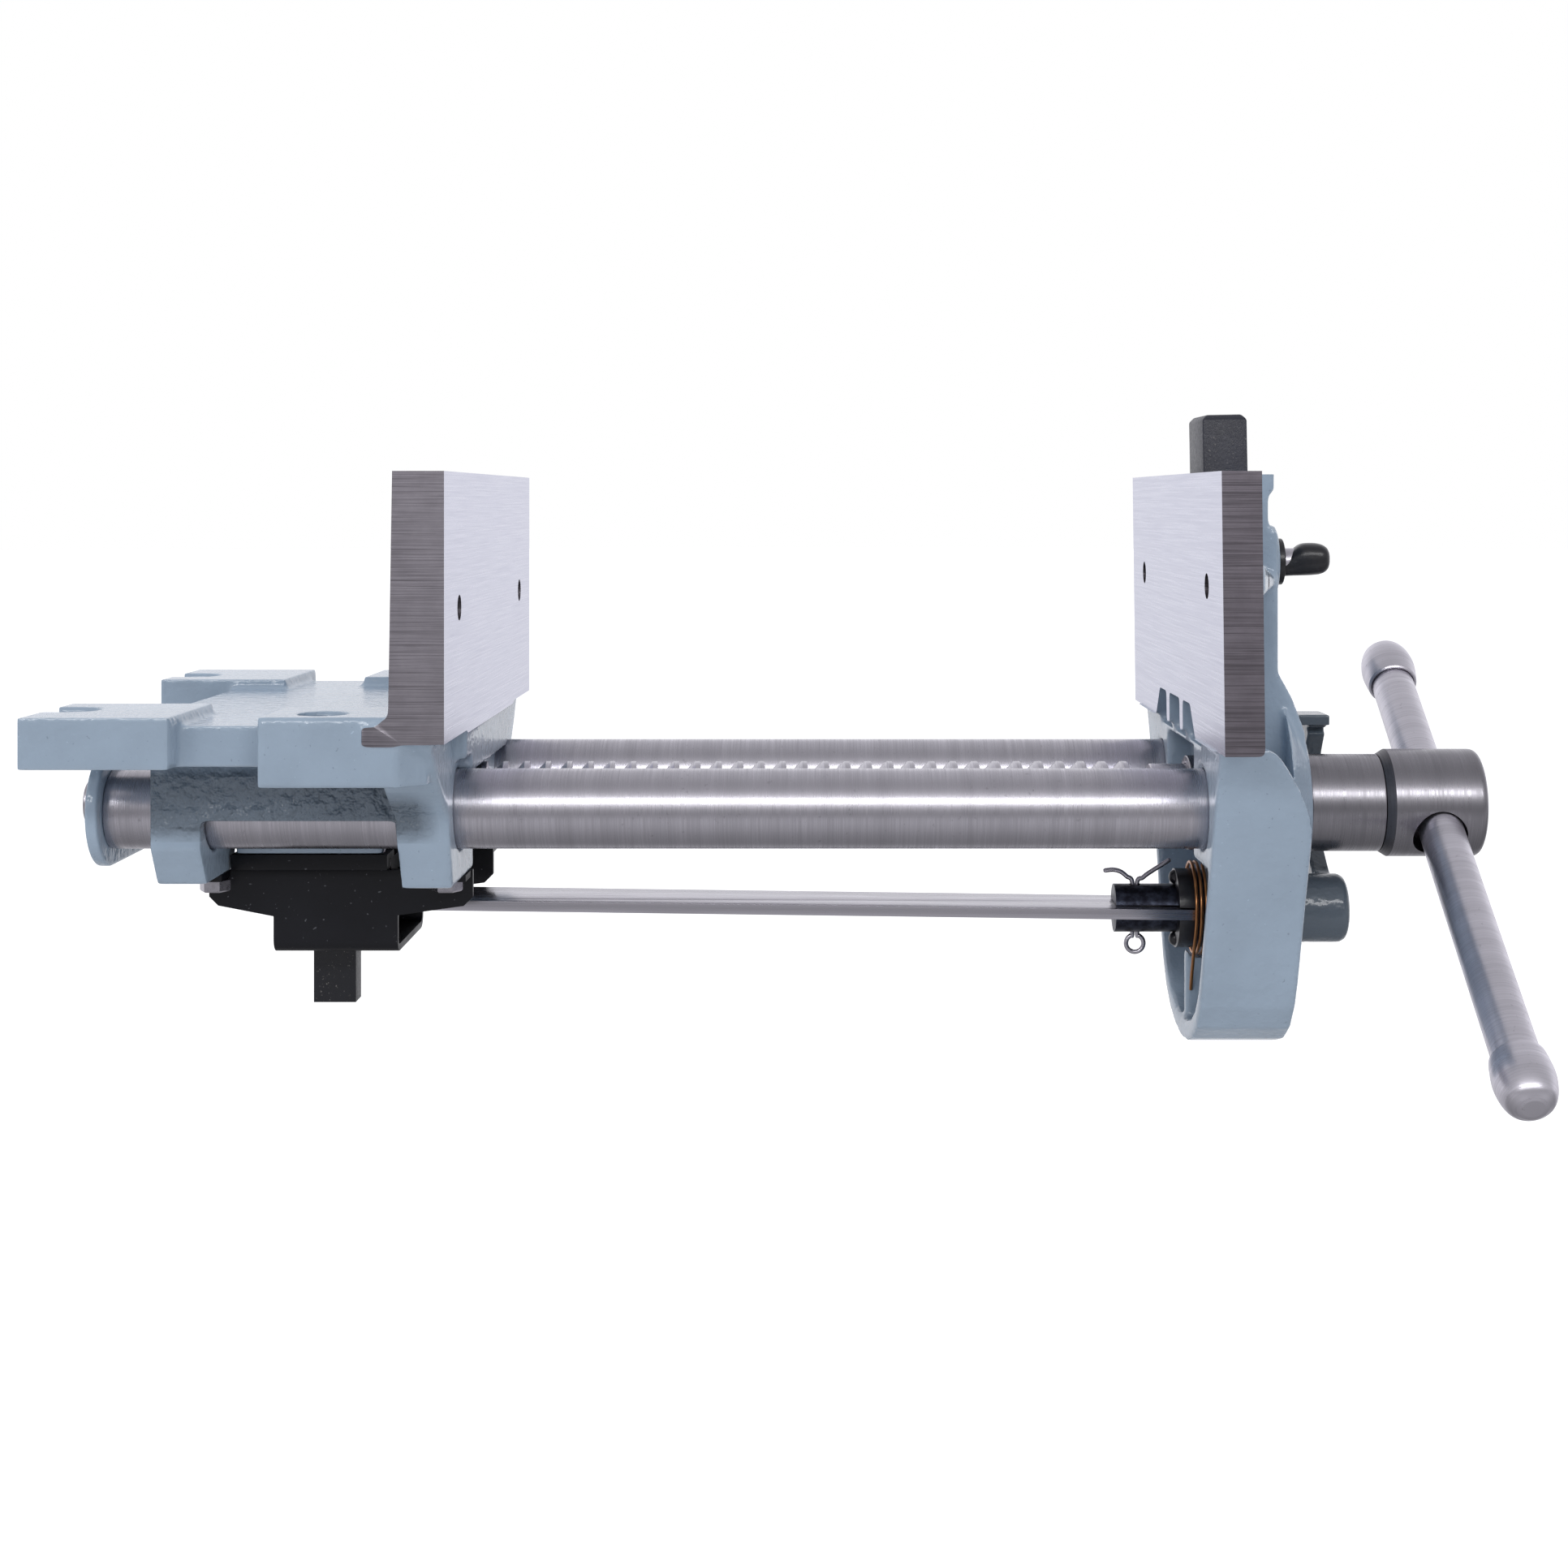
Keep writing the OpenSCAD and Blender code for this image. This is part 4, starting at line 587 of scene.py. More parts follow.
def wire(name, route, width):
    """A round wire along a route, with rounded ends."""
    sides = bpy.context.scene.vise_sizes.wire_sides
    route = [Vector(p) for p in route]
    last = len(route) - 1
    side, rings = None, []
    for i, point in enumerate(route):
        along = (route[min(i + 1, last)] - route[max(i - 1, 0)]).normalized()
        side = along.orthogonal() if side is None else side - side.dot(along) * along
        side.normalize()
        ends = [(0, 1)]
        if i in (0, last):
            turns = [(math.sin(t), math.cos(t)) for t in (math.radians(60), math.radians(30), 0)]
            ends = [(-s, c) for s, c in turns] if i == 0 else [(s, c) for s, c in reversed(turns)]
        for shift, share in ends:
            centre = point + along * shift * width / 2
            rings.append((centre, side.copy(), along.cross(side), share * width / 2))
    vertices = [centre + r * (math.cos(a) * across + math.sin(a) * up)
                for centre, across, up, r in rings for a in (2 * math.pi * k / sides for k in range(sides))]
    return closed_mesh(name, vertices, skin(len(rings), sides))


def skin(rings, sides):
    """Faces over so many rings of points, with both ends closed."""
    faces = []
    for near, far in ((i * sides, (i + 1) * sides) for i in range(rings - 1)):
        for k, after in ((k, (k + 1) % sides) for k in range(sides)):
            faces.append([near + k, near + after, far + after, far + k])
    return faces + [list(range(sides)), [(rings - 1) * sides + k for k in range(sides)]]


def merged_copy(node):
    """A CAD node's mesh as one closed skin with its flat faces joined."""
    shape = bmesh.new()
    shape.from_mesh(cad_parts[node].data)
    bmesh.ops.remove_doubles(shape, verts=shape.verts, dist=5e-6)
    bmesh.ops.dissolve_limit(shape, angle_limit=math.radians(0.4), verts=shape.verts, edges=shape.edges)
    mesh = bpy.data.meshes.new(node + "_skin")
    shape.to_mesh(mesh)
    shape.free()
    return mesh


def shaped(carrier):
    """The mesh that a carrier's modifiers make of it; the carrier goes."""
    bpy.context.view_layer.update()
    made = bpy.data.meshes.new_from_object(carrier.evaluated_get(bpy.context.evaluated_depsgraph_get()))
    carrier.modifiers.clear()
    bpy.data.objects.remove(carrier)
    return made


def evaluated(mesh, modifiers):
    """The mesh after modifiers, given as (type, settings)."""
    carrier = linked("carrier", mesh)
    for kind, settings in modifiers:
        added = carrier.modifiers.new(kind.lower(), kind)
        for name, value in settings.items():
            setattr(added, name, value)
    return shaped(carrier)


def edges_broken(mesh, width_mm, angle=40, steps=3):
    """The mesh with its sharp edges rounded."""
    return evaluated(mesh, [("BEVEL", {
        "width": width_mm * MM, "segments": steps, "limit_method": "ANGLE",
        "angle_limit": math.radians(angle), "use_clamp_overlap": True})])


def box_cutter(low, high, place=None):
    """A box that cuts away all between two corners, moved to its place."""
    corners = [(x, y, z) for x in (low[0], high[0]) for y in (low[1], high[1]) for z in (low[2], high[2])]
    return closed_mesh("cutter", corners, [(0, 1, 3, 2), (4, 6, 7, 5), (0, 4, 5, 1), (2, 3, 7, 6),
                                           (0, 2, 6, 4), (1, 5, 7, 3)], place)


def drill(axis, centre, radius, length):
    """A drill for a hole along X or Z through a centre."""
    place = Matrix.Translation(centre)
    if axis == "Z":
        place = place @ Matrix.Rotation(-math.pi / 2, 4, "Y")
    half = length / 2 / MM
    return turned("drill", [(-half, 0), (-half, radius / MM), (half, radius / MM), (half, 0)], place)


def machined(mesh, cutters):
    """The mesh after cutters have been through it."""
    for cutter in cutters:
        tool = linked("tool", cutter)
        mesh = evaluated(mesh, [("BOOLEAN", {
            "operation": "DIFFERENCE", "solver": "MANIFOLD", "object": tool})])
        bpy.data.objects.remove(tool)
    return mesh


def cast(node, voxel, allowance=None):
    """A casting from a CAD node: its milled faces get their allowance, and its edges are rounded."""
    mesh = merged_copy(node)
    if allowance:
        for vertex in mesh.vertices:
            vertex.co += Vector(allowance(vertex.co))
    rounds = bpy.context.scene.vise_sizes.casting_rounds
    return evaluated(mesh, [("REMESH", {"mode": "VOXEL", "voxel_size": voxel}),
                            ("SMOOTH", {"factor": 0.5, "iterations": rounds})])


def thinned(mesh, most):
    """The mesh with at most so many triangles."""
    mesh.calc_loop_triangles()
    count = len(mesh.loop_triangles)
    return mesh if count <= most else evaluated(mesh, [("DECIMATE", {"ratio": most / count})])


def started_shape(name, sizes):
    """A Geometry Nodes tree with a named input for each size, and what its inputs give."""
    tree = bpy.data.node_groups.new(name, "GeometryNodeTree")
    tree.interface.new_socket("Geometry", in_out="OUTPUT", socket_type="NodeSocketGeometry")
    for key, value in sizes.items():
        kind = "NodeSocketInt" if isinstance(value, int) else "NodeSocketFloat"
        tree.interface.new_socket(key, in_out="INPUT", socket_type=kind)
    return tree, tree.nodes.new("NodeGroupInput").outputs


def grown(tree, geometry, finish, sizes):
    """Ends a tree with its finish, and gives the mesh that it makes at those sizes."""
    real = add_node(tree, "GeometryNodeRealizeInstances", {"Geometry": geometry})
    done = add_node(tree, "GeometryNodeSetMaterial", {"Geometry": real, "Material": finish_named(finish)})
    add_node(tree, "NodeGroupOutput", {"Geometry": done})
    carrier = linked("carrier", bpy.data.meshes.new("carrier"))
    modifier = carrier.modifiers.new("shape", "NODES")
    modifier.node_group = tree
    for socket in tree.interface.items_tree:
        if socket.in_out == "INPUT":
            modifier[socket.identifier] = sizes[socket.name]
    return outward(shaped(carrier))


def end_cutter(side, back, foot):
    """A cutter that mills one end of a jaw square, forward of its back and above its foot."""
    ends = sorted((side * JAW_END, side * FAR))
    return box_cutter((back, ends[0], foot), (FAR, ends[1], FAR))


def front_face(z):
    """X of the front jaw's leaning face at a height."""
    return FRONT_FACE + (JAW_TOP - z) * JAW_LEAN


def in_hole(centre, hole):
    """Whether a face lies in a jaw's cheek hole, given by its place across and up."""
    return math.hypot(abs(centre.y) - hole[0], centre.z - hole[1]) < CHEEK_R + CLOSE


class VISE_OT_rear_jaw(bpy.types.Operator):
    """Rear jaw: enamelled casting with its milled jaw plate and its bores"""

    bl_idname = "vise.rear_jaw"
    bl_label = "Rear jaw"

    def execute(self, context):
        sizes = context.scene.vise_sizes
        extra = sizes.machining

        def allowance(p):
            """Metal cast on at a point of the clamping face, the ends and the top."""
            at_end = abs(abs(p.y) - JAW_END) < CLOSE and p.x > REAR_FOOT_BACK
            return (extra if abs(p.x) < CLOSE else 0, math.copysign(extra, p.y) if at_end else 0,
                    extra if abs(p.z - JAW_TOP) < CLOSE else 0)

        def finish_at(c, n):
            """Number of the finish of a face with that centre and normal."""
            if n.x > FACING and abs(c.x) < CLOSE:
                return finishes.index("ground_grey_iron")
            on_top = n.z > FACING and abs(c.z - JAW_TOP) < CLOSE
            at_end = abs(n.y) > FACING and abs(abs(c.y) - JAW_END) < CLOSE and c.x > REAR_FOOT_BACK
            return on_top or at_end or in_hole(c, REAR_CHEEK)

        rod_drill, cheek_drill, pad_drill, bore_middle = 300 * MM, 50 * MM, 60 * MM, -50 * MM
        cutters = [box_cutter((0, -FAR, -FAR), (FAR, FAR, FAR)),
                   box_cutter((-FAR, -FAR, JAW_TOP), (FAR, FAR, FAR))]
        for side in (-1, 1):
            cutters += [end_cutter(side, REAR_FOOT_BACK, REAR_PLATE_LOW - MM),
                        drill("X", (bore_middle, side * ROD_Y, ROD_Z), BORE_R, rod_drill),
                        drill("X", (0, side * REAR_CHEEK[0], REAR_CHEEK[1]), CHEEK_R, cheek_drill),
                        drill("Z", (PAD_HOLE[0], side * PAD_HOLE[1], 0), PAD_R, pad_drill)]
        finishes = ["enamel_over_sand_cast_walls", "milled_grey_iron", "ground_grey_iron"]
        mesh = machined(thinned(cast("rear_jaw", sizes.casting_voxel, allowance), MOST_TRIANGLES), cutters)
        put_piece("rear_jaw_casting", mesh, finishes, "rear", ["rear_jaw"], which=finish_at)
        return {"FINISHED"}


class VISE_OT_front_jaw(bpy.types.Operator):
    """Front jaw: enamelled casting with its milled, slightly leaning jaw plate"""

    bl_idname = "vise.front_jaw"
    bl_label = "Front jaw"

    def execute(self, context):
        sizes = context.scene.vise_sizes
        extra = sizes.machining

        def allowance(p):
            """Metal cast on at a point of the clamping face, the ends and the top."""
            on_face = abs(p.x - front_face(p.z)) < CLOSE and p.z > FRONT_PLATE_LOW - CLOSE
            at_end = abs(abs(p.y) - JAW_END) < CLOSE
            return (-extra if on_face else 0, math.copysign(extra, p.y) if at_end else 0,
                    extra if abs(p.z - JAW_TOP) < CLOSE else 0)

        def finish_at(c, n):
            """Number of the finish of a face with that centre and normal."""
            if n.x < -FACING and abs(c.x - front_face(c.z)) < CLOSE:
                return finishes.index("ground_grey_iron")
            on_top = n.z > FACING and abs(c.z - JAW_TOP) < CLOSE and c.x < plate_back
            at_end = abs(n.y) > FACING and abs(abs(c.y) - JAW_END) < CLOSE
            return on_top or at_end or in_hole(c, FRONT_CHEEK)

        face_cutter = box_cutter((-FAR, -FAR, FRONT_PLATE_LOW), (0, FAR, FAR))
        for vertex in face_cutter.vertices:
            if vertex.co.x > -FAR / 2:
                vertex.co.x = front_face(vertex.co.z)
        along_dog = Matrix.Translation((FRONT_FACE + DOG_X, 0, 0)) @ Matrix.Rotation(-DOG_LEAN, 4, "Y")
        half_slot = DOG_HALF_W + DOG_GAP
        slot = box_cutter((-DOG_GAP, -half_slot, DOG_SLOT_LOW), (DOG_T + DOG_GAP, half_slot, FAR), along_dog)
        rod_drill, cheek_drill, boss_drill, bore_middle = 86 * MM, 60 * MM, 100 * MM, 20 * MM
        plate_back = FRONT_FACE + FRONT_PLATE_T
        cutters = [face_cutter, box_cutter((-FAR, -FAR, JAW_TOP), (plate_back, FAR, FAR)), slot,
                   box_cutter((plate_back, -FAR, JAW_TOP - HOUSING_DROP), (FAR, FAR, FAR)),
                   drill("X", (FRONT_FACE, 0, SCREW_Z), SHANK_BORE_R, boss_drill),
                   drill("X", (FRONT_FACE, 0, RELEASE_Z), RELEASE_BORE_R, boss_drill)]
        for side in (-1, 1):
            cutters += [end_cutter(side, -FAR, -FAR),
                        drill("X", (FRONT_FACE - bore_middle, side * ROD_Y, ROD_Z), BORE_R, rod_drill),
                        drill("X", (FRONT_FACE, side * FRONT_CHEEK[0], FRONT_CHEEK[1]), CHEEK_R, cheek_drill)]
        finishes = ["enamel_on_cast_iron", "worn_milled_iron", "ground_grey_iron"]
        mesh = machined(thinned(cast("front_jaw", sizes.casting_voxel, allowance), MOST_TRIANGLES), cutters)
        put_piece("front_jaw_casting", mesh, finishes, "carriage", ["front_jaw"],
                  which=finish_at)
        return {"FINISHED"}


class VISE_OT_small_castings(bpy.types.Operator):
    """Tie plate and trigger lever: small enamelled pieces with soft edges"""

    bl_idname = "vise.small_castings"
    bl_label = "Tie plate and trigger lever"

    def execute(self, context):
        for node, body, finish in (("tie_plate", "carriage", "enamel_on_cast_iron"),
                                   ("trigger_lever", "release", "dark_enamel_on_cast_iron")):
            mesh = thinned(cast(node, SMALL_VOXEL), MOST_TRIANGLES // 2)
            put_piece(node + "_enamelled", mesh, [finish], body, [node])
        return {"FINISHED"}


class VISE_OT_guide_rods(bpy.types.Operator):
    """Guide rods with their riveted ends, sleeve, washer and retaining collar, turned from their outlines"""

    bl_idname = "vise.guide_rods"
    bl_label = "Guide rods and collars"

    def execute(self, context):
        edge = context.scene.vise_sizes.turned_edge / MM
        for side, node in ((-1, "near_guide_rod"), (1, "far_guide_rod")):
            x0, x1, r = bar_of(node)
            # The riveted end's domed head, then the neck that passes through the tie plate
            neck_r, neck_end = 6, x0 + 5
            rivet = [(x0, 0), (x0 + 0.1, 3.2), (x0 + 0.5, 5.6), (x0 + 1.3, 7.4), (x0 + 1.45, neck_r)]
            outline = rivet + rounded([
                (x0 + 1.5, neck_r), (neck_end, neck_r), (neck_end, r), (x1, r), (x1, 0)], edge)
            place = Matrix.Translation((0, side * ROD_Y, ROD_Z))
            put_turned(node, outline, place, "carriage", "bright_turned_steel")
        screw_bore, collar_bore = 10.02, 11.52
        for node, body, bore in (
                ("thrust_washer", "carriage", screw_bore), ("screw_sleeve", "screw", screw_bore),
                ("retaining_collar", "screw", collar_bore)):
            x0, x1, r = bar_of(node, FRONT_FACE)
            outline = rounded([(x0, bore), (x1, bore), (x1, r), (x0, r)], edge, closed=True)
            put_turned(node, outline, ON_SCREW, body, "grey_turned_steel", closed=True)
        return {"FINISHED"}


class VISE_OT_main_screw(bpy.types.Operator):
    """Main screw: turned core, and a buttress thread that follows its lead"""

    bl_idname = "vise.main_screw"
    bl_label = "Main screw"

    def execute(self, context):
        sizes = context.scene.vise_sizes
        x0, x1, _ = bar_of("main_screw")
        tail_r, neck_r, core_r, shank_r, end_r = 6.5, 9, 9.8, 11.5, 10
        neck_x, thread_x, shank_x, end_x, slope = -94.5, -77, 196, 240.4, 0.4
        turns = 42
        core = rounded([(x0, 0), (x0, tail_r), (neck_x, tail_r), (neck_x, neck_r), (thread_x, neck_r),
                        (thread_x + core_r - neck_r, core_r), (shank_x - slope, core_r), (shank_x, shank_r),
                        (end_x, shank_r), (end_x, end_r), (x1, end_r), (x1, 0)], sizes.turned_edge / MM)
        thread = self.thread({
            "Lead": sizes.lead, "Turns": float(turns), "Steps": turns * sizes.thread_steps, "Start": -2.7,
            "Root radius": 9.6 * MM, "Crest radius": 12.2 * MM, "Run-out turns": 0.4,
            "Foot": 2.1 * MM, "Crest start": 4.7 * MM, "Crest end": 6.2 * MM, "Heel": 6.3625 * MM,
            "Groove X": -60 * MM, "Axis Z": SCREW_Z})
        core = turned("main_screw", core, Matrix.Translation((0, 0, SCREW_Z)))
        put_piece("main_screw_turned", joined(core, thread), ["bright_turned_steel"], "screw", ["main_screw"],
                  smooth_angle=30)
        return {"FINISHED"}

    @staticmethod
    def thread(sizes):
        """A ridge bent round the screw: a grid with the thread's corners across and its turns along."""
        tree, given = started_shape("buttress_thread", sizes)
        steps = add_node(tree, MATH, {0: given["Steps"], 1: 1.0}, operation="ADD")
        grid = add_node(tree, "GeometryNodeMeshGrid", {
            "Size X": 1.0, "Size Y": 4.0, "Vertices X": steps, "Vertices Y": 5}, out="Mesh")
        spot = tree.nodes.new(SEPARATE)
        tree.links.new(add_node(tree, "GeometryNodeInputPosition"), spot.inputs[0])
        share = add_node(tree, MATH, {0: spot.outputs["X"], 1: 0.5}, operation="ADD")
        corner = add_node(tree, MATH, {0: spot.outputs["Y"], 1: 2.0}, operation="ADD")
        corner = add_node(tree, "FunctionNodeFloatToInt", {0: corner}, rounding_mode="ROUND")
        profile = []
        for corners in (("Foot", "Crest start", "Crest end", "Heel", "Foot"),
                        ("Root radius", "Crest radius", "Crest radius", "Root radius", "Root radius")):
            pick = tree.nodes.new("GeometryNodeIndexSwitch")
            pick.data_type = "FLOAT"
            while len(pick.index_switch_items) < len(corners):
                pick.index_switch_items.new()
            tree.links.new(corner, pick.inputs["Index"])
            for i, size in enumerate(corners):
                tree.links.new(given[size], pick.inputs[i + 1])
            profile.append(pick.outputs[0])
        turns = add_node(tree, MATH, {0: share, 1: given["Turns"]}, operation="MULTIPLY")
        left = add_node(tree, MATH, {0: given["Turns"], 1: turns}, operation="SUBTRACT")
        nearest = add_node(tree, MATH, {0: turns, 1: left}, operation="MINIMUM")
        full = add_node(tree, MATH, {0: nearest, 1: given["Run-out turns"]}, operation="DIVIDE")
        full = add_node(tree, MATH, {0: full, 1: 1.0}, operation="MINIMUM")
        along = add_node(tree, RANGE, {
            "Value": full, **spread(0.0, 1.0, given["Crest start"], profile[0])})
        radius = add_node(tree, RANGE, {
            "Value": full, **spread(0.0, 1.0, given["Root radius"], profile[1])})
        turned_by = add_node(tree, MATH, {0: turns, 1: given["Start"]}, operation="ADD")
        angle = add_node(tree, MATH, {0: turned_by, 1: 2 * math.pi}, operation="MULTIPLY")
        x = add_node(tree, MATH, {0: turned_by, 1: given["Lead"], 2: given["Groove X"]},
                     operation="MULTIPLY_ADD")
        x = add_node(tree, MATH, {0: x, 1: along}, operation="ADD")
        cosine = add_node(tree, MATH, {0: angle}, operation="COSINE")
        sine = add_node(tree, MATH, {0: angle}, operation="SINE")
        y = add_node(tree, MATH, {0: cosine, 1: radius}, operation="MULTIPLY")
        z = add_node(tree, MATH, {0: sine, 1: radius, 2: given["Axis Z"]}, operation="MULTIPLY_ADD")
        place = add_node(tree, COMBINE, {"X": x, "Y": y, "Z": z})
        ridge = add_node(tree, "GeometryNodeSetPosition", {"Geometry": grid, "Position": place})
        ridge = add_node(tree, "GeometryNodeMergeByDistance", {"Geometry": ridge, "Distance": 0.001 * MM})
        return grown(tree, ridge, "bright_turned_steel", sizes)


def on_bar(start):
    """Place whose X runs up the tommy bar from a point on it, in millimetres up from the screw's axis."""
    along = Vector((0, math.cos(TOMMY_TILT), math.sin(TOMMY_TILT)))
    beside = Vector((0, math.sin(TOMMY_TILT), -math.cos(TOMMY_TILT)))
    turn = Matrix((along, beside, along.cross(beside))).transposed().to_4x4()
    origin = Vector((FRONT_FACE + TOMMY_X, 0, SCREW_Z)) + beside * TOMMY_DROP + along * start * MM
    return Matrix.Translation(origin) @ turn


class VISE_OT_handle(bpy.types.Operator):
    """Screw head with its cross hole, and the tommy bar with its two pressed-on knobs"""

    bl_idname = "vise.handle"
    bl_label = "Head and tommy bar"

    def execute(self, context):
        edge = context.scene.vise_sizes.turned_edge / MM
        x0, x1, r = bar_of("screw_head", FRONT_FACE)
        cone_r, cone_l, end_r, corner, facing_cone = 14.4, 2.4, 2.5, 8, -0.3
        hole_r, half_drill, hole_edge = 8, 30, 0.35
        outline = [(x0, 0)] + rounded([
            (x0, cone_r - 1), (x0, cone_r), (x0 + cone_l, r), (x1 - corner, r)], edge / 2)
        outline += rounded([(x1 - corner, r), (x1, r), (x1, r - corner)], end_r, steps=8)[1:] + [(x1, 0)]
        tilt = on_bar(0)
        tilt.translation = Vector((FRONT_FACE + TOMMY_HOLE_X, 0, SCREW_Z))
        hole = turned("hole", [
            (-half_drill, 0), (-half_drill, hole_r), (half_drill, hole_r), (half_drill, 0)], tilt)
        head = edges_broken(machined(turned("head", outline, ON_SCREW), [hole]), hole_edge, angle=50)
        cone_end = FRONT_FACE + (x0 + cone_l) * MM
        finishes = ["grey_turned_steel", "oxidised_turned_steel"]
        put_piece("screw_head_turned", head, finishes, "screw", ["screw_head"],
                  which=lambda c, n: c.x < cone_end and n.x < facing_cone)

        bar_r, knob_r, knob_l, upper, lower = 6.5, 8.3, 17.3, 64.6, 113.0
        seat_x, seat_r, overlap = 2.0, 6.6, 1
        # The knob's barrel: share of its length, share of its radius
        shares = [(0.006, 0.80), (0.0, 0.86), (0.03, 0.91), (0.145, 0.95), (0.38, 1), (0.55, 0.985),
                  (0.75, 0.9), (0.9, 0.75), (0.985, 0.5), (1.0, 0.36), (1.0, 0)]
        barrel = [(x * knob_l, share * knob_r) for x, share in shares]
        barrel = barrel[:2] + [tuple(p) for p in smooth_route(barrel[2:-2], 4)] + barrel[-2:]
        outline = rounded([(seat_x, 0), (seat_x, seat_r), *barrel], 0.2)
        # Each knob covers the last half of its own length of the bar
        low_seat, high_seat = -lower + knob_l / 2, upper - knob_l / 2
        for node, start, way in (("upper_knob", high_seat, 1), ("lower_knob", low_seat, -1)):
            place = on_bar(start) @ Matrix.Diagonal((way, 1, way, 1))
            put_turned(node, outline, place, "tommy", "ground_steel_bar")
        first, last = low_seat - overlap, high_seat + overlap
        outline = rounded([(first, 0), (first, bar_r), (last, bar_r), (last, 0)], edge)
        put_piece("tommy_bar_ground", turned("tommy_bar", outline, on_bar(0)), ["ground_steel_bar"], "tommy",
                  ["tommy_bar"])
        return {"FINISHED"}


class VISE_OT_release(bpy.types.Operator):
    """Quick release: black shaft and collar, bright strip, coppered spring and cotter pin"""

    bl_idname = "vise.release"
    bl_label = "Quick release"

    def execute(self, context):
        for node, finish, slot, edge_mm in (
                ("release_shaft", "black_oxide_steel", "black_turned", 0.5),
                ("spring_collar", "black_nylon", "black_turned", 0.5),
                ("release_strip", "rolled_steel_strip", "strip_steel", 0.35)):
            put_skin(node, "release", finish, edge_mm)

        low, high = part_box("release_spring")
        width = 1.0
        coil_r, curls, start, steps = high.y / MM - width / 2, 2.3, 210, 64
        first, last = low.x / MM + width / 2, high.x / MM - width / 2
        route = [(first, -3.1, -23.6), (first, -5.0, -19.0), (first, -8.2, -13.0)]
        for i in range(round(curls * steps) + 1):
            a = math.radians(start - 360 * i / steps)
            along = first + (last - first) * i / (curls * steps)
            route.append((along, coil_r * math.cos(a), coil_r * math.sin(a)))
        place = Vector((0, 0, RELEASE_Z))
        route = [place + MM * Vector(p) for p in route]
        put_piece("release_spring_coil", wire("release_spring", route, width * MM), ["coppered_wire"],
                  "carriage", ["release_spring"])

        leg, low_z, high_z, loop_r, wire_t = 0.75, -7.9, 7.7, 2.6, 1.38
        loop = [(loop_r * math.cos(a), low_z - 0.1 + loop_r * (math.sin(a) - 1))
                for a in (math.radians(120 + 30 * i) for i in range(11))]
        route = [(-8.75, high_z + 3.4), (-6.35, high_z + 3.6), (-4.15, high_z + 3.0), (-2.35, high_z + 1.6),
                 (-leg, high_z), (-leg, 0), (-leg, low_z), *loop, (leg, low_z), (leg, 0), (leg, high_z),
                 (2.35, high_z + 1.2), (4.15, high_z + 2.6), (10.15, high_z + 6.4)]
        behind_jaw = 11 * MM
        place = Vector((FRONT_FACE - behind_jaw, 0, RELEASE_Z))
        route = [place + MM * Vector((x, 0, z)) for x, z in route]
        pin = wire("cotter_pin", smooth_route(route, 6), wire_t * MM)
        put_piece("cotter_pin_wire", pin, ["zinc_plated_steel"], "release", ["cotter_pin"])
        return {"FINISHED"}


class VISE_OT_nut_and_guard(bpy.types.Operator):
    """Half nut, its guide and its sheet guard"""

    bl_idname = "vise.nut_and_guard"
    bl_label = "Half nut and guard"

    def execute(self, context):
        for node, body, finish, slot, edge_mm in (
                ("half_nut_guard", "rear", "black_paint_on_sheet", "black_sheet", 0.6),
                ("nut_guide", "rear", "black_paint_on_sheet", "black_sheet", 0.4),
                ("half_nut", "nut", "black_oxide_casting", "black_cast", 0.6)):
            put_skin(node, body, finish, edge_mm)
        return {"FINISHED"}


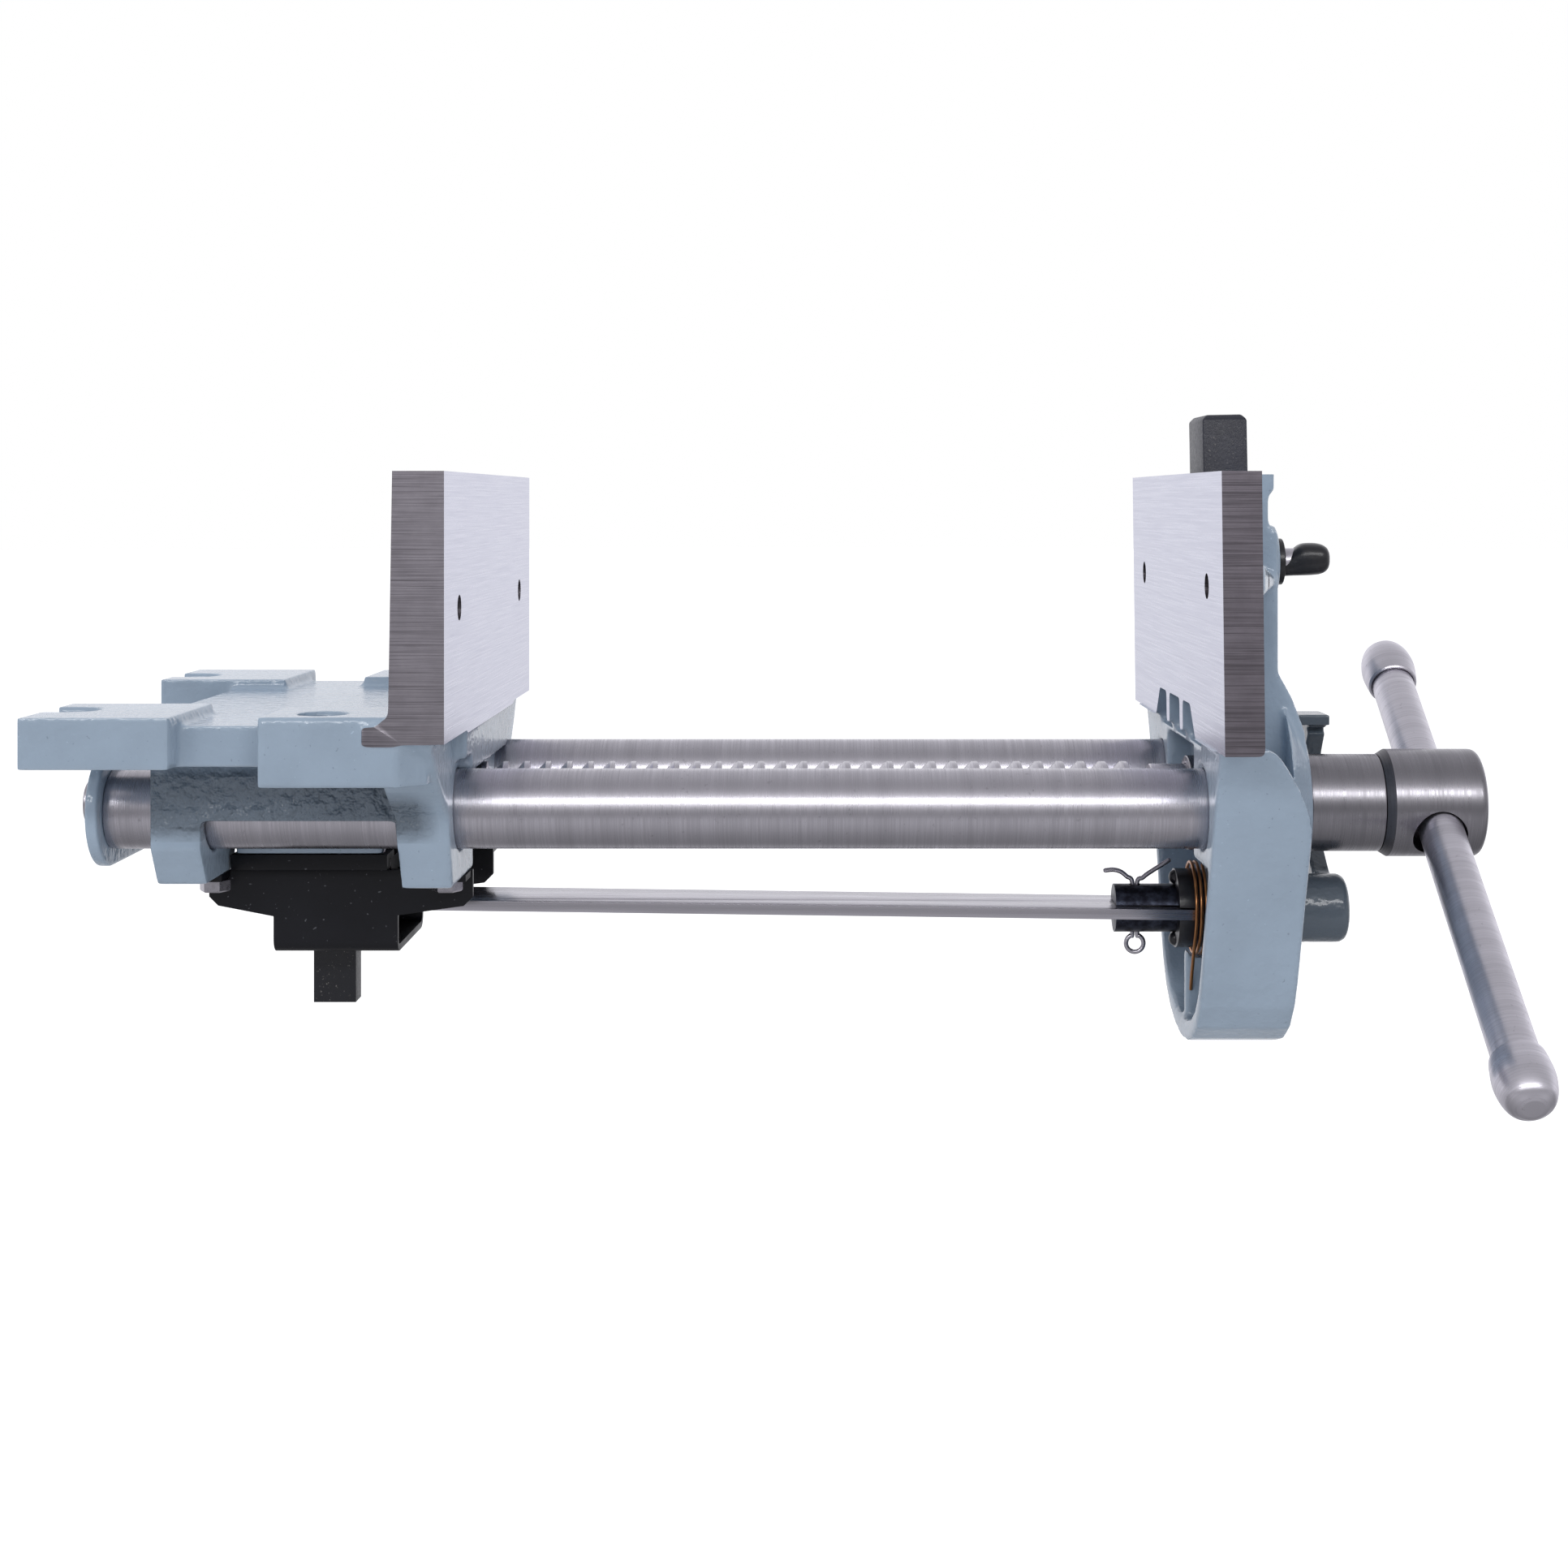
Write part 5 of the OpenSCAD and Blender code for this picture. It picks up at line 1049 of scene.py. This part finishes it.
class VISE_OT_fasteners(bpy.types.Operator):
    """Screws of the guard and the guide, set out on their grids"""

    bl_idname = "vise.fasteners"
    bl_label = "Guard and guide screws"

    def execute(self, context):
        for node, head_r, head_sides, head_h, shank_r in (
                ("guard_screws", 4.4, 6, 3.2, 2.5), ("guide_screws", 4.0, 32, 2.4, 2.5)):
            low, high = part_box(node)
            flat_r = head_r * (math.cos(math.pi / head_sides) if head_sides == 6 else 1.0)
            sizes = {
                "Head radius": head_r * MM, "Head height": head_h * MM, "Head sides": head_sides,
                "Chamfer": 0.45 * MM, "Shank radius": shank_r * MM, "Length": high.z - low.z,
                "Spacing X": high.x - low.x - 2 * head_r * MM,
                "Spacing Y": high.y - low.y - 2 * flat_r * MM,
                "Middle X": (low.x + high.x) / 2, "Bottom Z": low.z}
            put_piece(node + "_set", self.screws(node, sizes), ["zinc_plated_steel"], "rear", [node])
        return {"FINISHED"}

    @staticmethod
    def screws(name, sizes):
        """One screw from its chamfer, head and shank, set on the corners of a grid."""
        tree, given = started_shape(name, sizes)
        straight = add_node(tree, MATH, {0: given["Head height"], 1: given["Chamfer"]},
                            operation="SUBTRACT")
        small = add_node(tree, MATH, {0: given["Head radius"], 1: given["Chamfer"]},
                         operation="SUBTRACT")
        chamfer = add_node(tree, "GeometryNodeMeshCone", {
            "Vertices": given["Head sides"], "Radius Bottom": small, "Radius Top": given["Head radius"],
            "Depth": given["Chamfer"]}, out="Mesh")
        head = add_node(tree, "GeometryNodeMeshCone", {
            "Vertices": given["Head sides"], "Radius Bottom": given["Head radius"],
            "Radius Top": given["Head radius"], "Depth": straight}, out="Mesh")
        up = add_node(tree, COMBINE, {"Z": given["Chamfer"]})
        head = add_node(tree, "GeometryNodeTransform", {"Geometry": head, "Translation": up})
        shank = add_node(tree, "GeometryNodeMeshCone", {
            "Vertices": 24, "Radius Bottom": given["Shank radius"], "Radius Top": given["Shank radius"],
            "Depth": given["Length"]}, out="Mesh")
        parts = tree.nodes.new("GeometryNodeJoinGeometry")
        for part in (chamfer, head, shank):
            tree.links.new(part, parts.inputs[0])
        grid = add_node(tree, "GeometryNodeMeshGrid", {
            "Size X": given["Spacing X"], "Size Y": given["Spacing Y"], "Vertices X": 2, "Vertices Y": 2},
            out="Mesh")
        spot = add_node(tree, COMBINE, {"X": given["Middle X"], "Z": given["Bottom Z"]})
        grid = add_node(tree, "GeometryNodeTransform", {"Geometry": grid, "Translation": spot})
        placed = add_node(tree, "GeometryNodeInstanceOnPoints", {
            "Points": grid, "Instance": parts.outputs[0]})
        return grown(tree, placed, "zinc_plated_steel", sizes)


class VISE_OT_nut_springs(bpy.types.Operator):
    """Two coil springs under the half nut, built at one length; they do not shorten here as the nut is
    pressed down
    """

    bl_idname = "vise.nut_springs"
    bl_label = "Nut springs"

    def execute(self, context):
        low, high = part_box("nut_springs")
        width, coil_r, travel = 0.9 * MM, 1.8 * MM, 2.84 * MM
        sizes = {"Wire radius": width / 2, "Coil radius": coil_r, "Height": high.z - low.z - width,
                 "Curls": 6.0, "Steps": 32, "X": middle("nut_springs", 0), "Z": low.z + width / 2,
                 "Spacing": high.y - low.y - 2 * coil_r - width}
        made = put_piece("nut_springs_coils", self.coils(sizes), ["zinc_plated_steel"], "rear",
                         ["nut_springs"])
        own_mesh(made)
        return {"FINISHED"}

    @staticmethod
    def coils(sizes):
        """One coil swept along a spiral, set at both ends of a line across the vise."""
        tree, given = started_shape("coil_springs", sizes)
        spiral = add_node(tree, "GeometryNodeCurveSpiral", {
            "Resolution": given["Steps"], "Rotations": given["Curls"], "Start Radius": given["Coil radius"],
            "End Radius": given["Coil radius"], "Height": given["Height"]})
        section = add_node(tree, "GeometryNodeCurvePrimitiveCircle", {
            "Resolution": 10, "Radius": given["Wire radius"]})
        coil = add_node(tree, "GeometryNodeCurveToMesh", {
            "Curve": spiral, "Profile Curve": section, "Fill Caps": True})
        half = add_node(tree, MATH, {0: given["Spacing"], 1: -0.5}, operation="MULTIPLY")
        start = add_node(tree, COMBINE, {"X": given["X"], "Y": half, "Z": given["Z"]})
        step = add_node(tree, COMBINE, {"Y": given["Spacing"]})
        spots = add_node(tree, "GeometryNodeMeshLine", {"Count": 2, "Start Location": start, "Offset": step})
        placed = add_node(tree, "GeometryNodeInstanceOnPoints", {"Points": spots, "Instance": coil})
        return grown(tree, placed, "zinc_plated_steel", sizes)


class VISE_OT_bench_dog(bpy.types.Operator):
    """Bench dog, its thumbscrew and the moulded wing knob"""

    bl_idname = "vise.bench_dog"
    bl_label = "Bench dog and thumbscrew"

    def execute(self, context):
        put_skin("bench_dog", "dog", "worn_black_oxide_casting", 0.5)
        x0, x1, _ = bar_of("dog_screw")
        screw_r, tip_r, tip_l = 4, 2.6, 1
        outline = [(x0, 0)] + rounded([(x0, tip_r), (x0 + tip_l, screw_r), (x1, screw_r), (x1, 0)], 0.4)
        place = Matrix.Translation((0, 0, THUMB_Z))
        put_turned("dog_screw", outline, place, "thumb", "zinc_plated_steel")

        x0, x1, _ = bar_of("wing_knob")
        flange_r, rim_l, neck_r, neck_l = 6.9, 1.9, 4.5, 2.3
        outline = rounded([
            (x0, 0), (x0, flange_r), (x0 + rim_l, flange_r), (x0 + neck_l, neck_r), (x0 + neck_l, 0)], 0.5)
        flange = turned("flange", outline, place)
        # Sections of the wing: share of its length, half width, half height, rise of its middle
        sections = [(0.00, 3.6, 2.9, -1.6), (0.14, 4.0, 3.1, -1.2), (0.30, 4.7, 4.1, -0.1),
                    (0.45, 5.4, 4.75, 0.6), (0.66, 6.1, 4.8, 0.8), (0.82, 6.2, 4.5, 0.8),
                    (0.93, 5.4, 3.7, 0.8), (0.985, 4.0, 2.5, 0.8), (1.0, 2.4, 1.3, 0.8)]
        start, sides, squareness = x0 + 1.2, 48, 0.75
        route = smooth_route([(start + s * (x1 - start), w, h, rise) for s, w, h, rise in sections], 4)
        vertices = []
        for x, w, h, rise in route:
            for a in (2 * math.pi * k / sides for k in range(sides)):
                c, s = math.cos(a), math.sin(a)
                vertices.append((x * MM, math.copysign(abs(c) ** squareness, c) * w * MM,
                                 THUMB_Z + (rise + math.copysign(abs(s) ** squareness, s) * h) * MM))
        wing = closed_mesh("wing", vertices, skin(len(route), sides))
        put_piece("wing_knob_moulded", joined(flange, wing), ["black_nylon"], "thumb", ["wing_knob"])
        return {"FINISHED"}


class VISE_OT_hidden_pins(bpy.types.Operator):
    """Pins inside the head, the collar and the lever keep their CAD shape and get their finish"""

    bl_idname = "vise.hidden_pins"
    bl_label = "Pins"

    def execute(self, context):
        for node in ("head_pin", "collar_pin", "lever_pin"):
            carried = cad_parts[node]
            if not carried.material_slots:
                raise RuntimeError(f"{node} has no material slot")
            for slot in carried.material_slots:
                slot.material = finish_named("zinc_plated_steel")
        return {"FINISHED"}


class VISE_OT_stage(bpy.types.Operator):
    """Camera, pale floor, soft lamps and white surroundings"""

    bl_idname = "vise.stage"
    bl_label = "Studio"

    def execute(self, context):
        scene = context.scene
        # The photograph's width, focal length and shifts of its middle, in its pixels
        image, focal, right, down = 1932, 2912, -50, -348
        camera = bpy.data.cameras.new("camera")
        camera.sensor_width = 36
        camera.lens = focal / image * camera.sensor_width
        camera.shift_x, camera.shift_y = right / image, down / image
        camera.clip_start = 0.01
        scene.camera = linked("camera", camera)
        scene.camera.location = (99.2 * MM, -705 * MM, 56.4 * MM)
        scene.camera.rotation_euler = (math.radians(90), 0, 0)

        # The floor lies low enough for the vise to be seen from below
        radius, drop, corners = 30, -0.55, 96
        rim = [(radius * math.cos(a), radius * math.sin(a), drop)
               for a in (2 * math.pi * k / corners for k in range(corners))]
        ground = bpy.data.meshes.new("floor")
        ground.from_pydata(rim, [], [list(range(corners))])
        ground.materials.append(self.matt_floor())
        floor = linked("floor", ground)

        heart = Vector((0.1, 0, -0.02))
        # Place, width and depth, and watts of each lamp; only the strip shows in reflections
        for name, place, size, power in (
                ("front_strip", (0.1, -1.6, 0.80), (2.6, 0.22), 15),
                ("overhead", (0.1, 0.25, 1.6), (2.4, 1.6), 12),
                ("left_fill", (-1.5, -0.7, 0.5), (1.0, 1.0), 4)):
            lamp = bpy.data.lights.new(name, "AREA")
            lamp.shape = "RECTANGLE"
            lamp.size, lamp.size_y = size
            lamp.energy = power
            lit = linked(name, lamp)
            lit.location = place
            lit.visible_glossy = name == "front_strip"
            lit.rotation_euler = (heart - Vector(place)).to_track_quat("-Z", "Y").to_euler()
        scene.world = self.surroundings()
        scene.view_settings.view_transform = "Standard"
        return {"FINISHED"}

    # Matt white floor: pale to the camera, so that only a soft shadow shows, and left out of reflections
    @staticmethod
    def matt_floor():
        material, tree, _ = started("matt_white_floor")
        seen = add_node(tree, "ShaderNodeLightPath", out="Is Camera Ray")
        glow = add_node(tree, MATH, {0: seen, 1: 0.7}, operation="MULTIPLY")
        lit = add_node(tree, "ShaderNodeEmission", {"Color": (1, 1, 1, 1), "Strength": glow})
        matt = add_node(tree, "ShaderNodeBsdfDiffuse", {"Color": (0.8, 0.8, 0.8, 1)})
        both = add_node(tree, "ShaderNodeAddShader", {0: matt, 1: lit})
        mirrored = add_node(tree, "ShaderNodeLightPath", out="Is Glossy Ray")
        clear = add_node(tree, "ShaderNodeBsdfTransparent")
        surface = add_node(tree, "ShaderNodeMixShader", {0: mirrored, 1: both, 2: clear})
        add_node(tree, "ShaderNodeOutputMaterial", {"Surface": surface})
        return material

    # White to the camera, plain grey for light, and a studio's bright and dark walls in reflections
    @staticmethod
    def surroundings():
        world = bpy.data.worlds.new("studio")
        world.use_nodes = True
        tree = world.node_tree
        tree.nodes.clear()
        path = tree.nodes.new("ShaderNodeLightPath").outputs
        way = tree.nodes.new(SEPARATE)
        tree.links.new(add_node(tree, "ShaderNodeTexCoord", out="Generated"), way.inputs[0])
        front = add_node(tree, MATH, {0: way.outputs["Y"], 1: -1.0}, operation="MULTIPLY")
        angle = add_node(tree, MATH, {0: way.outputs["Z"], 1: front}, operation="ARCTAN2")
        share = add_node(tree, RANGE, {"Value": angle, **spread(-math.pi, math.pi, 0, 1)})
        ramp = tree.nodes.new("ShaderNodeValToRGB")
        tree.links.new(share, ramp.inputs["Fac"])
        # Brightness by angle: 0 is level towards the camera, 90 up, 180 away
        levels = [(-180, 1.0), (-150, 0.62), (-114, 0.28), (-90, 0.33), (-72, 0.38), (-55, 0.48),
                  (-40, 0.56), (-25, 0.62), (-12, 0.34), (2, 0.34), (12, 0.6), (43, 0.74), (57, 0.52),
                  (73, 0.46), (90, 0.5), (109, 0.62), (133, 0.7), (160, 1.0), (180, 1.0)]
        stops = ramp.color_ramp.elements
        for degrees, _ in levels[1:-1]:
            stops.new((degrees + 180) / 360)
        for stop, (degrees, level) in zip(stops, levels):
            stop.position = (degrees + 180) / 360
            stop.color = (level, level, level * 1.04, 1)
        grey, white = (0.55, 0.55, 0.57, 1), (1, 1, 1, 1)
        plain = add_node(tree, MIX, {
            FACTOR: path["Is Glossy Ray"], UNDER: grey, OVER: ramp.outputs["Color"]}, **COLOURS)
        colour = add_node(tree, MIX, {
            FACTOR: path["Is Camera Ray"], UNDER: plain, OVER: white}, **COLOURS)
        sky = add_node(tree, "ShaderNodeBackground", {"Color": colour, "Strength": 1.0})
        add_node(tree, "ShaderNodeOutputWorld", {"Surface": sky})
        return world


class VISE_PT_pieces(bpy.types.Panel):
    """Lists the sizes, the colours and the pieces of the vise"""

    bl_idname = "VISE_PT_pieces"
    bl_label = "Bench vise"
    bl_space_type = "VIEW_3D"
    bl_region_type = "UI"
    bl_category = "Vise"

    def draw(self, context):
        for group in (context.scene.vise_sizes, context.scene.vise_colours):
            box = self.layout.box()
            for name in group.__annotations__:
                box.prop(group, name)
        for step in STEPS:
            self.layout.operator(step.bl_idname)


STEPS = (VISE_OT_rear_jaw, VISE_OT_front_jaw, VISE_OT_small_castings, VISE_OT_guide_rods, VISE_OT_main_screw,
         VISE_OT_handle, VISE_OT_release, VISE_OT_nut_and_guard, VISE_OT_fasteners, VISE_OT_nut_springs,
         VISE_OT_bench_dog, VISE_OT_hidden_pins, VISE_OT_stage)
CLASSES = (ViseSizes, ViseColours, *STEPS, VISE_PT_pieces)


def register():
    for kind in CLASSES:
        bpy.utils.register_class(kind)
    bpy.types.Scene.vise_sizes = PointerProperty(type=ViseSizes)
    bpy.types.Scene.vise_colours = PointerProperty(type=ViseColours)


def unregister():
    del bpy.types.Scene.vise_colours
    del bpy.types.Scene.vise_sizes
    for kind in reversed(CLASSES):
        bpy.utils.unregister_class(kind)


def main():
    register()
    for step in STEPS:
        area, name = step.bl_idname.split(".")
        getattr(getattr(bpy.ops, area), name)()


if __name__ == "__main__":
    main()
